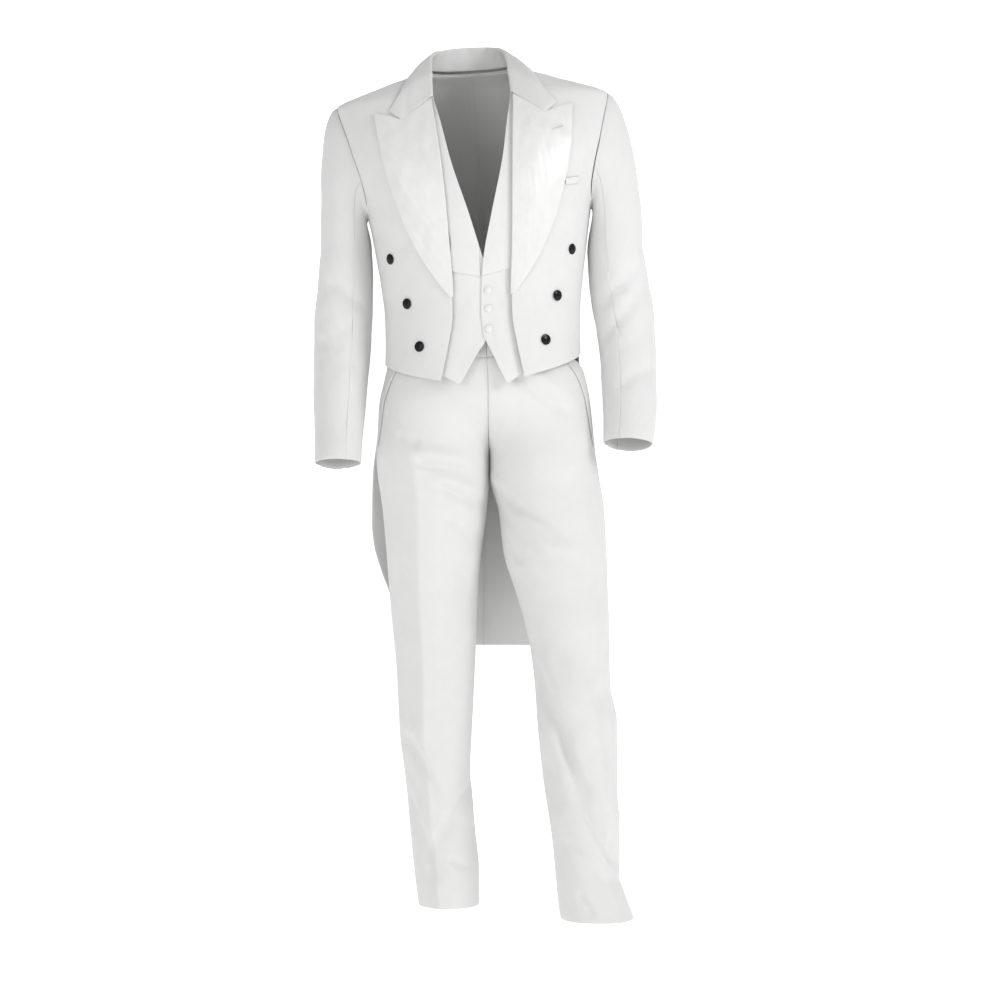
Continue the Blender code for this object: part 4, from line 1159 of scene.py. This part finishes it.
def lapel(side, label, wall):
    """A satin peak lapel, which rolls round the coat's edge."""
    name = f"lapel_{label}"

    def left(v):
        level = mix(LAPEL_END_Z, GORGE_Z, v)
        return front_places(COAT_EDGE.read(level)[0], level)

    def right(v):
        level = mix(LAPEL_END_Z, PEAK_Z, v)
        return front_places(LAPEL_EDGE.read(level)[0], level)

    surface = coat(side)
    share = np.linspace(0, 1, 46) ** 1.25
    places = patch(straight(left, right), gorge_line, left, right, share,
                   np.linspace(0, 1, 110))
    turn, level = places[..., 0], places[..., 1]
    outward = faced(surface, side)(turn, level)
    lift = mix(ROLL_LIFT, LAPEL_LIFT, ease(3 * share))[None, :]
    flat = raised(surface(turn, level), outward, lift)
    seed = 11 if side > 0 else 29
    height = (waviness(flat, seed, 0.55 * MM, 60 * MM)
              + waviness(flat, seed + 1, 0.3 * MM, 26 * MM))
    height = height * ease(edge_distances(flat)["left"] / (14 * MM))
    leaf = raised(flat, outward, height)
    away = unit(flat[:, 0] - flat[:, 1])
    turns = np.radians(np.linspace(165, 15, 8))[None, :, None]
    roll = (leaf[:, :1] + away[:, None] * np.sin(turns) * LAPEL_ROLL_RADIUS
            + outward[:, :1] * (np.cos(turns) - 1) * LAPEL_ROLL_RADIUS)
    roll_out = outward[:, :1] * np.cos(turns) + away[:, None] * np.sin(turns)
    points = np.concatenate([roll, leaf], 1)
    facing = np.concatenate([roll_out, outward], 1)
    shell(name, points, facing, wall, "satin", "top")


def clear_of_front(points, share):
    """Moves the leaf's points ahead of the forepart they lie on."""
    surface_y = body(turn_at(points[:, 0], points[:, 2]), points[:, 2])[:, 1]
    over = (share > 0.7) & (share < 1) & (points[:, 0] < body_sizes(points[:, 2])[0])
    moved = points.copy()
    moved[over, 1] = np.minimum(points[over, 1], surface_y[over] - LEAF_CLEARANCE)
    return moved


def collar_edge(share):
    """The leaf's outer edge, above the back and the forepart."""
    places = polyline(COLLAR_KEYS, [
        (2.0, -18 * MM), (1.72, -19 * MM), (1.38, -19 * MM), (1.0, -16 * MM),
        tuple(front_places(127 * MM, -60 * MM)), tuple(front_places(148 * MM, -92 * MM))],
        share)
    ahead_of_ridge = share > COLLAR_KEYS[3]
    z = np.interp(share, COLLAR_KEYS[3:], np.array([-16, -60, -92]) * MM)
    x = np.interp(share, COLLAR_KEYS[3:], [body_sizes(-16 * MM)[0], 127 * MM, 148 * MM])
    places[ahead_of_ridge] = front_places(x, z)[ahead_of_ridge]
    lift = polyline(COLLAR_KEYS, np.array(COLLAR_LIFT)[:, None] * MM, share)
    turn, level = places.T
    return body(turn, level) + normals(body, turn, level) * lift


def collar_half(share):
    """Rows across the collar from its stand to the leaf's edge, one at each share."""
    fold = polyline(COLLAR_KEYS, np.array(COLLAR_FOLD) * MM, share)
    edge = collar_edge(share)
    seam = body(*polyline(COLLAR_KEYS, [
        (2.0, NECK_Z), (1.72, NECK_Z), (1.38, NECK_Z), (1.0, NECK_Z),
        tuple(front_places(74.5 * MM, -33 * MM)), tuple(front_places(73.5 * MM, GORGE_Z))],
        share).T)
    inward = np.stack([-seam[:, 0], -np.maximum(seam[:, 1] - 20 * MM, 0), 0 * share], -1)
    inward = unit(inward)
    away = unit(fold - seam)
    face = unit(np.cross(away, np.gradient(fold, axis=0)))
    ahead = ease((share - 0.6) / 0.2)[:, None]
    base = mix(seam, fold, mix(0.08, 0.5, ahead)) + inward * STAND_SETBACK
    base[:, 2] += 1.5 * MM
    base -= face * STAND_DROP * ahead
    notch = gorge_line(np.array([1, 2, 3]) / 6)
    gorge = body(notch[:, 0], notch[:, 1])
    gorge += normals(body, notch[:, 0], notch[:, 1]) * LAPEL_LIFT
    crest_in = fold - face * FOLD_WIDTH / 2
    crest_out = fold + face * FOLD_WIDTH / 2
    crest = fold + away * 1.5 * MM
    ends = ease((share - 0.84) / 0.16)[:, None]
    leaf = []
    for k, (part, bulge) in enumerate(((0.25, 2.0), (0.5, 3.0), (0.75, 2.0))):
        middle = mix(crest_out, edge, part) + face * bulge * MM
        leaf.append(clear_of_front(mix(middle, gorge[k], ends), share))
    return np.stack([base, mix(base, crest_in, 0.55), crest_in, crest, crest_out, *leaf, edge],
                    1)


def collar(wall):
    """Stand and leaf in one, from gorge to gorge round the back of the neck."""
    share = np.array(COLLAR_SHARES)
    half = collar_half(share)
    mirrored = half[:0:-1] * np.array([-1.0, 1.0, 1.0])
    coarse = carry(np.concatenate([mirrored, half]))
    rows, columns = coarse.shape[:2]
    down = np.concatenate([np.linspace(0, 2, 7), np.linspace(2, 4, 13)[1:],
                           np.linspace(4, 8, 19)[1:]])
    fine = Curve(np.arange(columns), coarse.transpose(1, 0, 2).reshape(columns, -1)).at(down)
    fine = fine.reshape(len(down), rows, 3).transpose(1, 0, 2)
    round_share = np.concatenate([-share[:0:-1], share])
    run = np.linspace(-1, 1, 150)
    points = Curve(round_share, fine.reshape(rows, -1)).at(run).reshape(len(run), len(down), 3)
    behind = (down > 4.5)[None, :, None] * ease(points[..., 1:2] / (60 * MM))
    outward = grid_normals(points, np.array([0.0, 1.0, 0.0]) * behind)
    points = worn("collar", points, outward, "", 0.25 * MM, 60 * MM)
    shell("collar", points, outward, wall, "suit_cloth", "bottom top")


def breast_welt(wall):
    """The welt of the breast pocket, from the lapel's edge towards the armhole."""

    def low(u):
        return front_places(mix(153.5, 178, u) * MM, mix(-241, -238, u) * MM)

    def high(u):
        return front_places(mix(153.5, 178, u) * MM, mix(-230, -226, u) * MM)

    edges = (low, high, straight(low, high), straight(low, high, -1))
    panel("breast_welt", 1, edges, 24, 12, wall, "suit_cloth", lift=WELT_LIFT, wave=0.1 * MM)


# The waistcoat

def lap_lift(places):
    """How far the lapping front is raised near the centre, below the opening."""
    x = body(places[..., 0], places[..., 1])[..., 0]
    low = 1 - ease((places[..., 1] - LAP_TOP) / (60 * MM))
    return VEST_LAP * low * (1 - ease((x - LAP_WIDTH) / (30 * MM)))


def through(rows):
    """An edge through rows of places, evenly shared, with its corners kept."""
    rows = np.asarray(rows, dtype=float)
    return lambda share: polyline(np.linspace(0, 1, len(rows)), rows, share)


def curved(rows):
    """A smooth edge through rows of places, evenly shared."""
    rows = np.asarray(rows, dtype=float)
    return Curve(np.linspace(0, 1, len(rows)), rows).at


def vest_side(widths):
    """The waistcoat's side seam and armhole, from the hem up, as x and level."""
    level = np.array(VEST_SCYE_Z) * MM
    seam = np.linspace(VEST_HEM_SIDE, level[0], 8)[:-1]
    x = np.array(widths) * MM
    x[[0, -1]] = body_sizes(level[[0, -1]])[0]
    return np.concatenate([np.stack([body_sizes(seam)[0], seam], -1),
                           np.stack([x, level], -1)])


def vest_front(side, label, edge, hem, laps, wall):
    """A waistcoat front. The one that laps over the other is raised near the centre."""
    rim = vest_side(VEST_SCYE_FRONT)

    def right(v):
        x, level = curved(rim)(v).T
        places = front_places(np.minimum(x, body_sizes(level)[0]), level)
        places[(v == 0) | (v == 1), 0] = 1.0
        return places

    def left(v):
        level = np.interp(v, [0, 0.5, 1], [edge.keys[0], -300 * MM, VEST_TOP_Z])
        places = front_places(edge.read(level)[0], level)
        places[v == 1, 0] = 1.0
        return places

    def top(u):
        return np.stack([np.ones_like(u), mix(VEST_TOP_Z, rim[-1, 1], u)], -1)

    x, z = np.array(hem, dtype=float).T * MM
    low = front_places(x, z)
    low[-1, 0] = 1.0
    low[0] = left(ENDS)[0]
    panel(f"waistcoat_front_{label}", side, (through(low), top, left, right), 50, 110, wall,
          "waistcoat_cloth", "right top", "right top", VEST_INSET,
          lap_lift if laps else 0.0, 0.4 * MM)


def vest_back(side, label, wall):
    """One half of the waistcoat's back, laid out by its x and level."""
    rim = vest_side(VEST_SCYE_BACK)
    tip_x, tip_z = rim[-1]
    corner = 1 - NECK_X / tip_x

    def spread(u):
        """Columns close together at the side, where the cloth turns."""
        return 1 - power(np.cos(u * math.pi / 2), 2 / ROUNDNESS)

    def top(u):
        level = mix(tip_z, VEST_TOP_Z, np.minimum(spread(u) / corner, 1))
        x = np.where(spread(u) < corner, body_sizes(level)[0], tip_x * (1 - spread(u)))
        return np.stack([x, level], -1)

    def right(v):
        return np.stack([0 * v, mix(-520 * MM, VEST_TOP_Z, v)], -1)

    def bottom(u):
        return mix(rim[0], right(ENDS)[0], spread(u)[:, None])

    def upright(places):
        turned = front_places(places[..., 0], places[..., 1])
        turned[..., 0] = 2 - turned[..., 0]
        return turned

    name = f"waistcoat_back_{label}"
    surface = coat(side, VEST_INSET)
    u, v = np.linspace(0, 1, 44), np.linspace(0, 1, 96)
    low, high, start, end = bottom(u), top(u), curved(rim)(v), right(v)
    share = spread(u)[None, :, None]
    up = v[:, None, None]
    ruled = mix(low[None], high[None], up) + mix(start[:, None], end[:, None], share)
    places = upright(ruled - mix(mix(low[0], low[-1], share), mix(high[0], high[-1], share), up))
    outward = faced(surface, side)(places[..., 0], places[..., 1])
    points = surface(places[..., 0], places[..., 1])
    points = worn(name, points, outward, "left right top", 0.5 * MM)
    shell(name, points, outward, wall, "waistcoat_cloth", "left right top",
          "" if side > 0 else "right")


def vest_lapel(side, label, edge):
    """The waistcoat's narrow lapel, along the opening down to its slanting end."""

    def inner(v):
        z = mix(VEST_LAPEL_LOW, VEST_LAPEL_HIGH, v)
        return np.maximum(edge.read(z)[0], VEST_LAPEL_STOP[side]), z

    def left(v):
        return front_places(*inner(v))

    def right(v):
        x, z = inner(v)
        return front_places(x + mix(56, 24, v) * MM, z + mix(12, 0, v) * MM)

    def lift(places):
        return VEST_LAPEL_WALL + 0.9 * MM + (lap_lift(places) if side > 0 else 0.0)

    edges = (straight(left, right), straight(left, right, -1), left, right)
    panel(f"waistcoat_lapel_{label}", side, edges, 20, 70, VEST_LAPEL_WALL,
          "waistcoat_cloth", "", "", VEST_INSET, lift, 0.2 * MM)


# The trousers

def leg_surface(side, face):
    """Half a trouser leg and hip: across runs from the inseam, 0, to the outseam, 1."""
    table = LEGS[side]
    sign = -1 if face == "front" else 1
    crease_place = CREASE_PLACE[side] if face == "front" else BACK_CREASE_PLACE
    folds = [fold_line(a * LEG_ROUND, z, b * LEG_ROUND, w, width, height)
             for hand, half, a, z, b, w, width, height in LEG_FOLDS
             if hand == side and half == face]

    def surface(across, z):
        outer, inner, centre_y, front_depth, back_depth = table.read(z)
        depth = front_depth if face == "front" else back_depth
        inner = inner + SEAM_GAP / 2
        half, middle = (outer - inner) / 2, (outer + inner) / 2
        angle = across * math.pi
        crease = CREASE_HEIGHT * pressed(across - crease_place)
        place = np.stack([across * LEG_ROUND, z + 0 * across], -1)
        depth_here = depth + crease + fold_height(place, folds)
        leg_x = middle - half * np.cos(angle)
        leg_y = centre_y + sign * depth_here * power(np.sin(angle), LEG_ROUNDNESS)
        quarter = across * math.pi / 2
        hip_x = inner + (outer - inner) * power(np.sin(quarter), 2 / ROUNDNESS)
        hip_y = centre_y + sign * depth * power(np.cos(quarter), 2 / ROUNDNESS)
        share = ease((z - FORK_Z) / RISE_BLEND)
        x = mix(leg_x, hip_x, share)
        y = mix(leg_y, hip_y, share)
        return np.stack([side * x, y, z + 0 * x], -1)

    return surface


def pressed(across):
    """A pressed crease: a ridge that runs up to an edge."""
    return np.exp(-(np.hypot(across, CREASE_EDGE) - CREASE_EDGE) / CREASE_SPREAD)


def leg_outward(surface, side, face, across, z):
    """Outward directions of half a leg."""
    sign = 1 if face == "front" else -1
    return normals(surface, across, z) * side * sign


def trouser_panel(side, face, label, wall):
    """The front or the back of one trouser leg, from its hem to the waistband."""
    name = f"trouser_{face}_{label}"
    surface = leg_surface(side, face)
    z = np.linspace(LEGS[side].keys[0], BAND_BOTTOM, 190)
    across, level = np.meshgrid(np.linspace(0, 1, 54), z)
    outward = leg_outward(surface, side, face, across, level)
    points = worn(name, surface(across, level), outward, "left right top", 0.9 * MM, 150 * MM)
    hip = np.exp(-((level - BAND_BOTTOM + 8 * MM) / (20 * MM)) ** 2)
    points = raised(points, outward, HIP_RISE * hip * ease((across - 0.72) / 0.28))
    if face == "front" and side > 0:
        fly = ease((level - FLY_END) / (8 * MM)) * (1 - ease((across - FLY_SHARE) / 0.08))
        points = raised(points, outward, FLY_RISE * fly)
    laps = "left right top" if face == "front" else "left" if side < 0 else ""
    shell(name, points, outward, wall, "suit_cloth", "left right top", laps)


def waistband(side, label, wall):
    """Half the waistband, from the fly to the centre back."""
    columns, outward = [], []
    across = np.linspace(0, 1, 40)
    z = np.linspace(BAND_BOTTOM, BAND_TOP, 14)
    for face in ("front", "back"):
        surface = leg_surface(side, face)
        run = across if face == "front" else across[::-1][1:]
        turn, level = np.meshgrid(run, z)
        columns.append(surface(turn, level))
        outward.append(leg_outward(surface, side, face, turn, level))
    points, facing = np.concatenate(columns, 1), np.concatenate(outward, 1)
    name = f"waistband_{label}"
    points = worn(name, points, facing, "left right bottom", 0.3 * MM)
    shell(name, points, facing, wall, "suit_cloth", "left right bottom",
          "" if side > 0 else "left right")


def pocket_edge(side, label):
    """The edge of a slanted side pocket, on the trouser front."""
    surface = leg_surface(side, "front")
    run, up = np.meshgrid(np.linspace(0, 1, 60), np.linspace(0, 1, 6))
    across = mix(mix(0.70, 0.93, run), mix(0.66, 0.90, run), up)
    level = mix(mix(-541, -690, run), mix(-541, -694, run), up) * MM
    outward = leg_outward(surface, side, "front", across, level)
    points = raised(surface(across, level), outward, POCKET_LIFT)
    shell(f"trouser_pocket_{label}", points, outward, POCKET_WALL, "suit_cloth")


# Buttons

def turned(name, centre, facing, profile, kind):
    """A round piece: its profile lists radius and height along its axis, from the back."""
    mesh = bmesh.new()
    verts = [mesh.verts.new((radius, 0, height)) for radius, height in profile]
    edges = [mesh.edges.new(pair) for pair in zip(verts, verts[1:])]
    bmesh.ops.spin(mesh, geom=verts + edges, cent=(0, 0, 0), axis=(0, 0, 1),
                   angle=2 * math.pi, steps=BUTTON_STEPS, use_merge=True)
    bmesh.ops.remove_doubles(mesh, verts=mesh.verts, dist=1e-6)
    bmesh.ops.recalc_face_normals(mesh, faces=mesh.faces)
    upright = Vector((0, 0, 1)).rotation_difference(Vector(facing)).to_matrix().to_4x4()
    mesh.transform(Matrix.Translation(Vector(centre)) @ upright)
    piece = add(f"{name}_turned", mesh, kind)
    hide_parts(name)
    return piece


def button_profile(diameter, height, rim):
    """A domed button with a rounded edge, whose face may sink behind a raised rim."""
    radius = diameter / 2
    edge = [(radius * (1 - 0.12 * (1 - math.sin(a))), height * (0.28 + 0.3 * math.cos(a)))
            for a in np.linspace(math.pi, 0, 9)]
    dome = [(radius * 0.88 * (1 - t), height * (0.58 + 0.42 * (1 - (1 - t) ** 2)) - rim *
             math.exp(-((t - 0.16) / 0.07) ** 2)) for t in np.linspace(0.03, 1, 16)]
    return [(0.0, 0.0), (radius * 0.7, 0.0)] + edge + dome


def seat(surface, side, x, z, lift):
    """A button's place above a front, from x and level in millimetres, and the way it faces."""
    place = front_places(np.array([x * MM]), np.array([z * MM]))
    facing = faced(surface, side)(place[:, 0], place[:, 1])[0]
    return surface(place[:, 0], place[:, 1])[0] + facing * lift, facing


def coat_buttons(size):
    """Six black buttons, three down each forepart."""
    number = 0
    for side in (-1, 1):
        surface = coat(side)
        for x, z in COAT_BUTTON_PLACES:
            number += 1
            centre, facing = seat(surface, side, x, z, BUTTON_GAP)
            turned(f"coat_button_{number}", centre, facing,
                   button_profile(size, *COAT_BUTTON_FORM), "black_button")


def vest_buttons(size):
    """Three covered buttons down the lapped front."""
    surface = coat(1, VEST_INSET)
    for number, (x, z) in enumerate(VEST_BUTTON_PLACES, start=1):
        centre, facing = seat(surface, 1, x, z, VEST_LAP + BUTTON_GAP)
        turned(f"waistcoat_button_{number}", centre, facing,
               button_profile(size, *VEST_BUTTON_FORM), "covered_button")


# Sewing

def stitches(name, surface, outward, ends, count, size, lift):
    """A row of stitches on a surface: each is a small rounded bar along the row."""
    mesh = bmesh.new()
    for k in range(count):
        share = np.array([(k + 0.5) / count])
        place = mix(ends[0], ends[1], share[:, None])
        here = surface(place[:, 0], place[:, 1])[0]
        ahead = mix(ends[0], ends[1], share[:, None] + 0.01)
        way = Vector(unit(surface(ahead[:, 0], ahead[:, 1])[0] - here))
        up = outward(place[:, 0], place[:, 1])[0]
        bar = bmesh.ops.create_uvsphere(mesh, u_segments=6, v_segments=4, radius=1)["verts"]
        turn = Vector((1, 0, 0)).rotation_difference(way).to_matrix().to_4x4()
        where = Matrix.Translation(Vector(here + up * lift)) @ turn
        scale = Matrix.Diagonal((size[0] / 2, size[1] / 2, size[1] / 2, 1))
        bmesh.ops.transform(mesh, matrix=where @ scale, verts=bar)
    return add(name, mesh, "thread")


def buttonhole():
    """The worked buttonhole on the left lapel, below its peak."""
    surface = coat(1)
    outward = faced(surface, 1)
    ends = front_places(np.array(HOLE_X) * MM, np.array(HOLE_Z) * MM)
    stitches("lapel_buttonhole", surface, outward, ends, HOLE_STITCHES, STITCH_SIZE,
             LAPEL_LIFT + 0.3 * MM)


# The stage

def backdrop(floor_level):
    """A pale floor that curves up into a wall behind the suit."""
    mesh = bmesh.new()
    bmesh.ops.create_grid(mesh, x_segments=8, y_segments=48, size=1)
    radius = PAPER_RADIUS
    flat = (PAPER_WALL - radius) - PAPER_FRONT
    bend = radius * math.pi / 2
    for vert in mesh.verts:
        run = (vert.co.y + 1) / 2 * (flat + bend + PAPER_HEIGHT)
        if run < flat:
            y, z = PAPER_FRONT + run, 0.0
        elif run < flat + bend:
            angle = (run - flat) / radius
            y = PAPER_WALL - radius + radius * math.sin(angle)
            z = radius * (1 - math.cos(angle))
        else:
            y, z = PAPER_WALL, radius + run - flat - bend
        vert.co = (vert.co.x * PAPER_HALF_WIDTH, y, z + floor_level)
    finish = Finish("stage paper")
    grain = finish.noise(finish.in_place(), 60, 2)
    finish.set(Base_Color=finish.blend(grain, (0.90, 0.90, 0.90), (0.91, 0.91, 0.91)),
               Roughness=0.9, Emission_Color=(1.0, 1.0, 1.0, 1.0),
               Emission_Strength=PAPER_GLOW)
    smooth_object("stage_paper", mesh, finish.material)


def lamp(name, place, size, power_w):
    """A large soft area light that faces the suit."""
    data = bpy.data.lights.new(name, "AREA")
    data.shape = "SQUARE"
    data.size = size
    data.energy = power_w
    made = linked(name, data)
    made.location = place
    made.rotation_euler = (Vector(AIM) - Vector(place)).to_track_quat("-Z", "Y").to_euler()


def stage(settings):
    """Floor, soft light and the photograph's camera."""
    scene = bpy.context.scene
    backdrop(settings.floor_level)
    world = bpy.data.worlds.new("stage light")
    world.use_nodes = True
    sky = world.node_tree.nodes["Background"]
    sky.inputs["Color"].default_value = (1.0, 1.0, 1.0, 1.0)
    sky.inputs["Strength"].default_value = settings.sky
    scene.world = world
    lamp("key_light", KEY_PLACE, KEY_SIZE, settings.key)
    lamp("fill_light", FILL_PLACE, FILL_SIZE, settings.fill)
    data = bpy.data.cameras.new("camera")
    data.lens = LENS
    data.sensor_width = SENSOR
    camera = linked("camera", data)
    camera.location = CAMERA_PLACE
    camera.rotation_euler = (math.pi / 2, 0.0, 0.0)
    scene.camera = camera
    scene.view_settings.view_transform = "Standard"


# The add-on

class SuitSizes(bpy.types.PropertyGroup):
    """Thicknesses of the cloth and sizes of the buttons."""

    coat_wall: FloatProperty(name="Coat cloth", description="Thickness of the coat's cloth",
                             default=2.0 * MM, min=0.5 * MM, unit="LENGTH")
    light_wall: FloatProperty(name="Light cloth",
                              description="Thickness of the waistcoat and the trousers",
                              default=1.6 * MM, min=0.5 * MM, unit="LENGTH")
    satin_wall: FloatProperty(name="Satin", description="Thickness of the faced lapels",
                              default=1.4 * MM, min=0.5 * MM, unit="LENGTH")
    collar_wall: FloatProperty(name="Collar", description="Thickness of the collar's cloth",
                               default=1.8 * MM, min=0.5 * MM, unit="LENGTH")
    coat_button: FloatProperty(name="Coat button", description="Diameter of a coat button",
                               default=19.0 * MM, min=10 * MM, unit="LENGTH")
    vest_button: FloatProperty(name="Waistcoat button",
                               description="Diameter of a covered button",
                               default=13.0 * MM, min=8 * MM, unit="LENGTH")


class SuitColours(bpy.types.PropertyGroup):
    """Colours of the finishes."""

    cloth: FloatVectorProperty(name="Cloth", description="Colour of the coat and trousers",
                               subtype="COLOR", size=3, default=(0.74, 0.74, 0.735))
    waistcoat: FloatVectorProperty(name="Waistcoat", description="Colour of the waistcoat",
                                   subtype="COLOR", size=3, default=(0.76, 0.76, 0.755))
    satin: FloatVectorProperty(name="Satin", description="Colour of the lapels",
                               subtype="COLOR", size=3, default=(0.78, 0.78, 0.775))
    button: FloatVectorProperty(name="Button", description="Colour of the coat's buttons",
                                subtype="COLOR", size=3, default=(0.006, 0.006, 0.007))


class SuitStage(bpy.types.PropertyGroup):
    """The floor and the light."""

    floor_level: FloatProperty(name="Floor", description="Height of the floor",
                               default=-1.66, unit="LENGTH")
    sky: FloatProperty(name="Sky", description="Strength of the light from all round",
                       default=0.50, min=0.0)
    key: FloatProperty(name="Key", description="Power of the key light", default=88.0,
                       min=0.0, unit="POWER")
    fill: FloatProperty(name="Fill", description="Power of the fill light", default=48.0,
                        min=0.0, unit="POWER")


SIDES = ((1, "left"), (-1, "right"))


class SUIT_OT_coat_body(bpy.types.Operator):
    """Make the coat's foreparts, side bodies and backs"""

    bl_idname = "suit.coat_body"
    bl_label = "Coat body"

    def execute(self, context):
        wall = context.scene.suit_sizes.coat_wall
        for side, label in SIDES:
            coat_front(side, label, wall)
            coat_side(side, label, wall)
            coat_back(side, label, wall)
        return {"FINISHED"}


class SUIT_OT_tails(bpy.types.Operator):
    """Make the two tails"""

    bl_idname = "suit.tails"
    bl_label = "Tails"

    def execute(self, context):
        for side, label in SIDES:
            coat_tail(side, label, context.scene.suit_sizes.coat_wall)
        return {"FINISHED"}


class SUIT_OT_sleeves(bpy.types.Operator):
    """Make the top sleeves and under sleeves"""

    bl_idname = "suit.sleeves"
    bl_label = "Sleeves"

    def execute(self, context):
        for side, label in SIDES:
            for half in ("top_sleeve", "under_sleeve"):
                sleeve(side, label, half, context.scene.suit_sizes.coat_wall)
        return {"FINISHED"}


class SUIT_OT_lapels(bpy.types.Operator):
    """Make the satin peak lapels"""

    bl_idname = "suit.lapels"
    bl_label = "Lapels"

    def execute(self, context):
        for side, label in SIDES:
            lapel(side, label, context.scene.suit_sizes.satin_wall)
        return {"FINISHED"}


class SUIT_OT_collar(bpy.types.Operator):
    """Make the coat's collar"""

    bl_idname = "suit.collar"
    bl_label = "Collar"

    def execute(self, context):
        collar(context.scene.suit_sizes.collar_wall)
        return {"FINISHED"}


class SUIT_OT_pockets(bpy.types.Operator):
    """Make the breast pocket's welt and the edges of the trouser pockets"""

    bl_idname = "suit.pockets"
    bl_label = "Pockets"

    def execute(self, context):
        breast_welt(WELT_WALL)
        for side, label in SIDES:
            pocket_edge(side, label)
        return {"FINISHED"}


class SUIT_OT_waistcoat(bpy.types.Operator):
    """Make the waistcoat's fronts, backs and lapels"""

    bl_idname = "suit.waistcoat"
    bl_label = "Waistcoat"

    def execute(self, context):
        wall = context.scene.suit_sizes.light_wall
        vest_front(1, "left", VEST_EDGE_LEFT, VEST_HEM_LEFT, True, wall)
        vest_front(-1, "right", VEST_EDGE_RIGHT, VEST_HEM_RIGHT, False, wall)
        vest_lapel(1, "left", VEST_EDGE_LEFT)
        vest_lapel(-1, "right", VEST_EDGE_RIGHT)
        for side, label in SIDES:
            vest_back(side, label, wall)
        return {"FINISHED"}


class SUIT_OT_trousers(bpy.types.Operator):
    """Make the trousers' fronts, backs and waistbands"""

    bl_idname = "suit.trousers"
    bl_label = "Trousers"

    def execute(self, context):
        sizes = context.scene.suit_sizes
        for side, label in SIDES:
            trouser_panel(side, "front", label, sizes.light_wall)
            trouser_panel(side, "back", label, sizes.light_wall)
            waistband(side, label, sizes.coat_wall)
        return {"FINISHED"}


class SUIT_OT_buttons(bpy.types.Operator):
    """Make the coat's black buttons and the waistcoat's covered buttons"""

    bl_idname = "suit.buttons"
    bl_label = "Buttons"

    def execute(self, context):
        coat_buttons(context.scene.suit_sizes.coat_button)
        vest_buttons(context.scene.suit_sizes.vest_button)
        return {"FINISHED"}


class SUIT_OT_sewing(bpy.types.Operator):
    """Work the lapel's buttonhole"""

    bl_idname = "suit.sewing"
    bl_label = "Sewing"

    def execute(self, context):
        buttonhole()
        return {"FINISHED"}


class SUIT_OT_stage(bpy.types.Operator):
    """Set up the floor, the light and the camera"""

    bl_idname = "suit.stage"
    bl_label = "Stage"

    def execute(self, context):
        stage(context.scene.suit_stage)
        return {"FINISHED"}


STEPS = (SUIT_OT_coat_body, SUIT_OT_tails, SUIT_OT_sleeves, SUIT_OT_lapels, SUIT_OT_collar,
         SUIT_OT_pockets, SUIT_OT_waistcoat, SUIT_OT_trousers, SUIT_OT_buttons, SUIT_OT_sewing,
         SUIT_OT_stage)


class SUIT_PT_panel(bpy.types.Panel):
    """The suit's sizes, colours and steps"""

    bl_label = "Tail suit"
    bl_idname = "SUIT_PT_panel"
    bl_space_type = "VIEW_3D"
    bl_region_type = "UI"
    bl_category = "Suit"

    def draw(self, context):
        for group in (context.scene.suit_sizes, context.scene.suit_colours,
                      context.scene.suit_stage):
            box = self.layout.box()
            for name in group.__annotations__:
                box.prop(group, name)
        for step in STEPS:
            self.layout.operator(step.bl_idname)


GROUPS = (("suit_sizes", SuitSizes), ("suit_colours", SuitColours), ("suit_stage", SuitStage))


def register():
    """Registers the classes and the scene's properties."""
    for name, group in GROUPS:
        bpy.utils.register_class(group)
        setattr(bpy.types.Scene, name, PointerProperty(type=group))
    for step in (*STEPS, SUIT_PT_panel):
        bpy.utils.register_class(step)


def unregister():
    """Takes the classes and properties away again."""
    for step in (SUIT_PT_panel, *reversed(STEPS)):
        bpy.utils.unregister_class(step)
    for name, group in reversed(GROUPS):
        delattr(bpy.types.Scene, name)
        bpy.utils.unregister_class(group)


def main():
    """Makes the suit and its stage."""
    register()
    for step in STEPS:
        getattr(bpy.ops.suit, step.bl_idname.split(".")[1])()


if __name__ == "__main__":
    main()
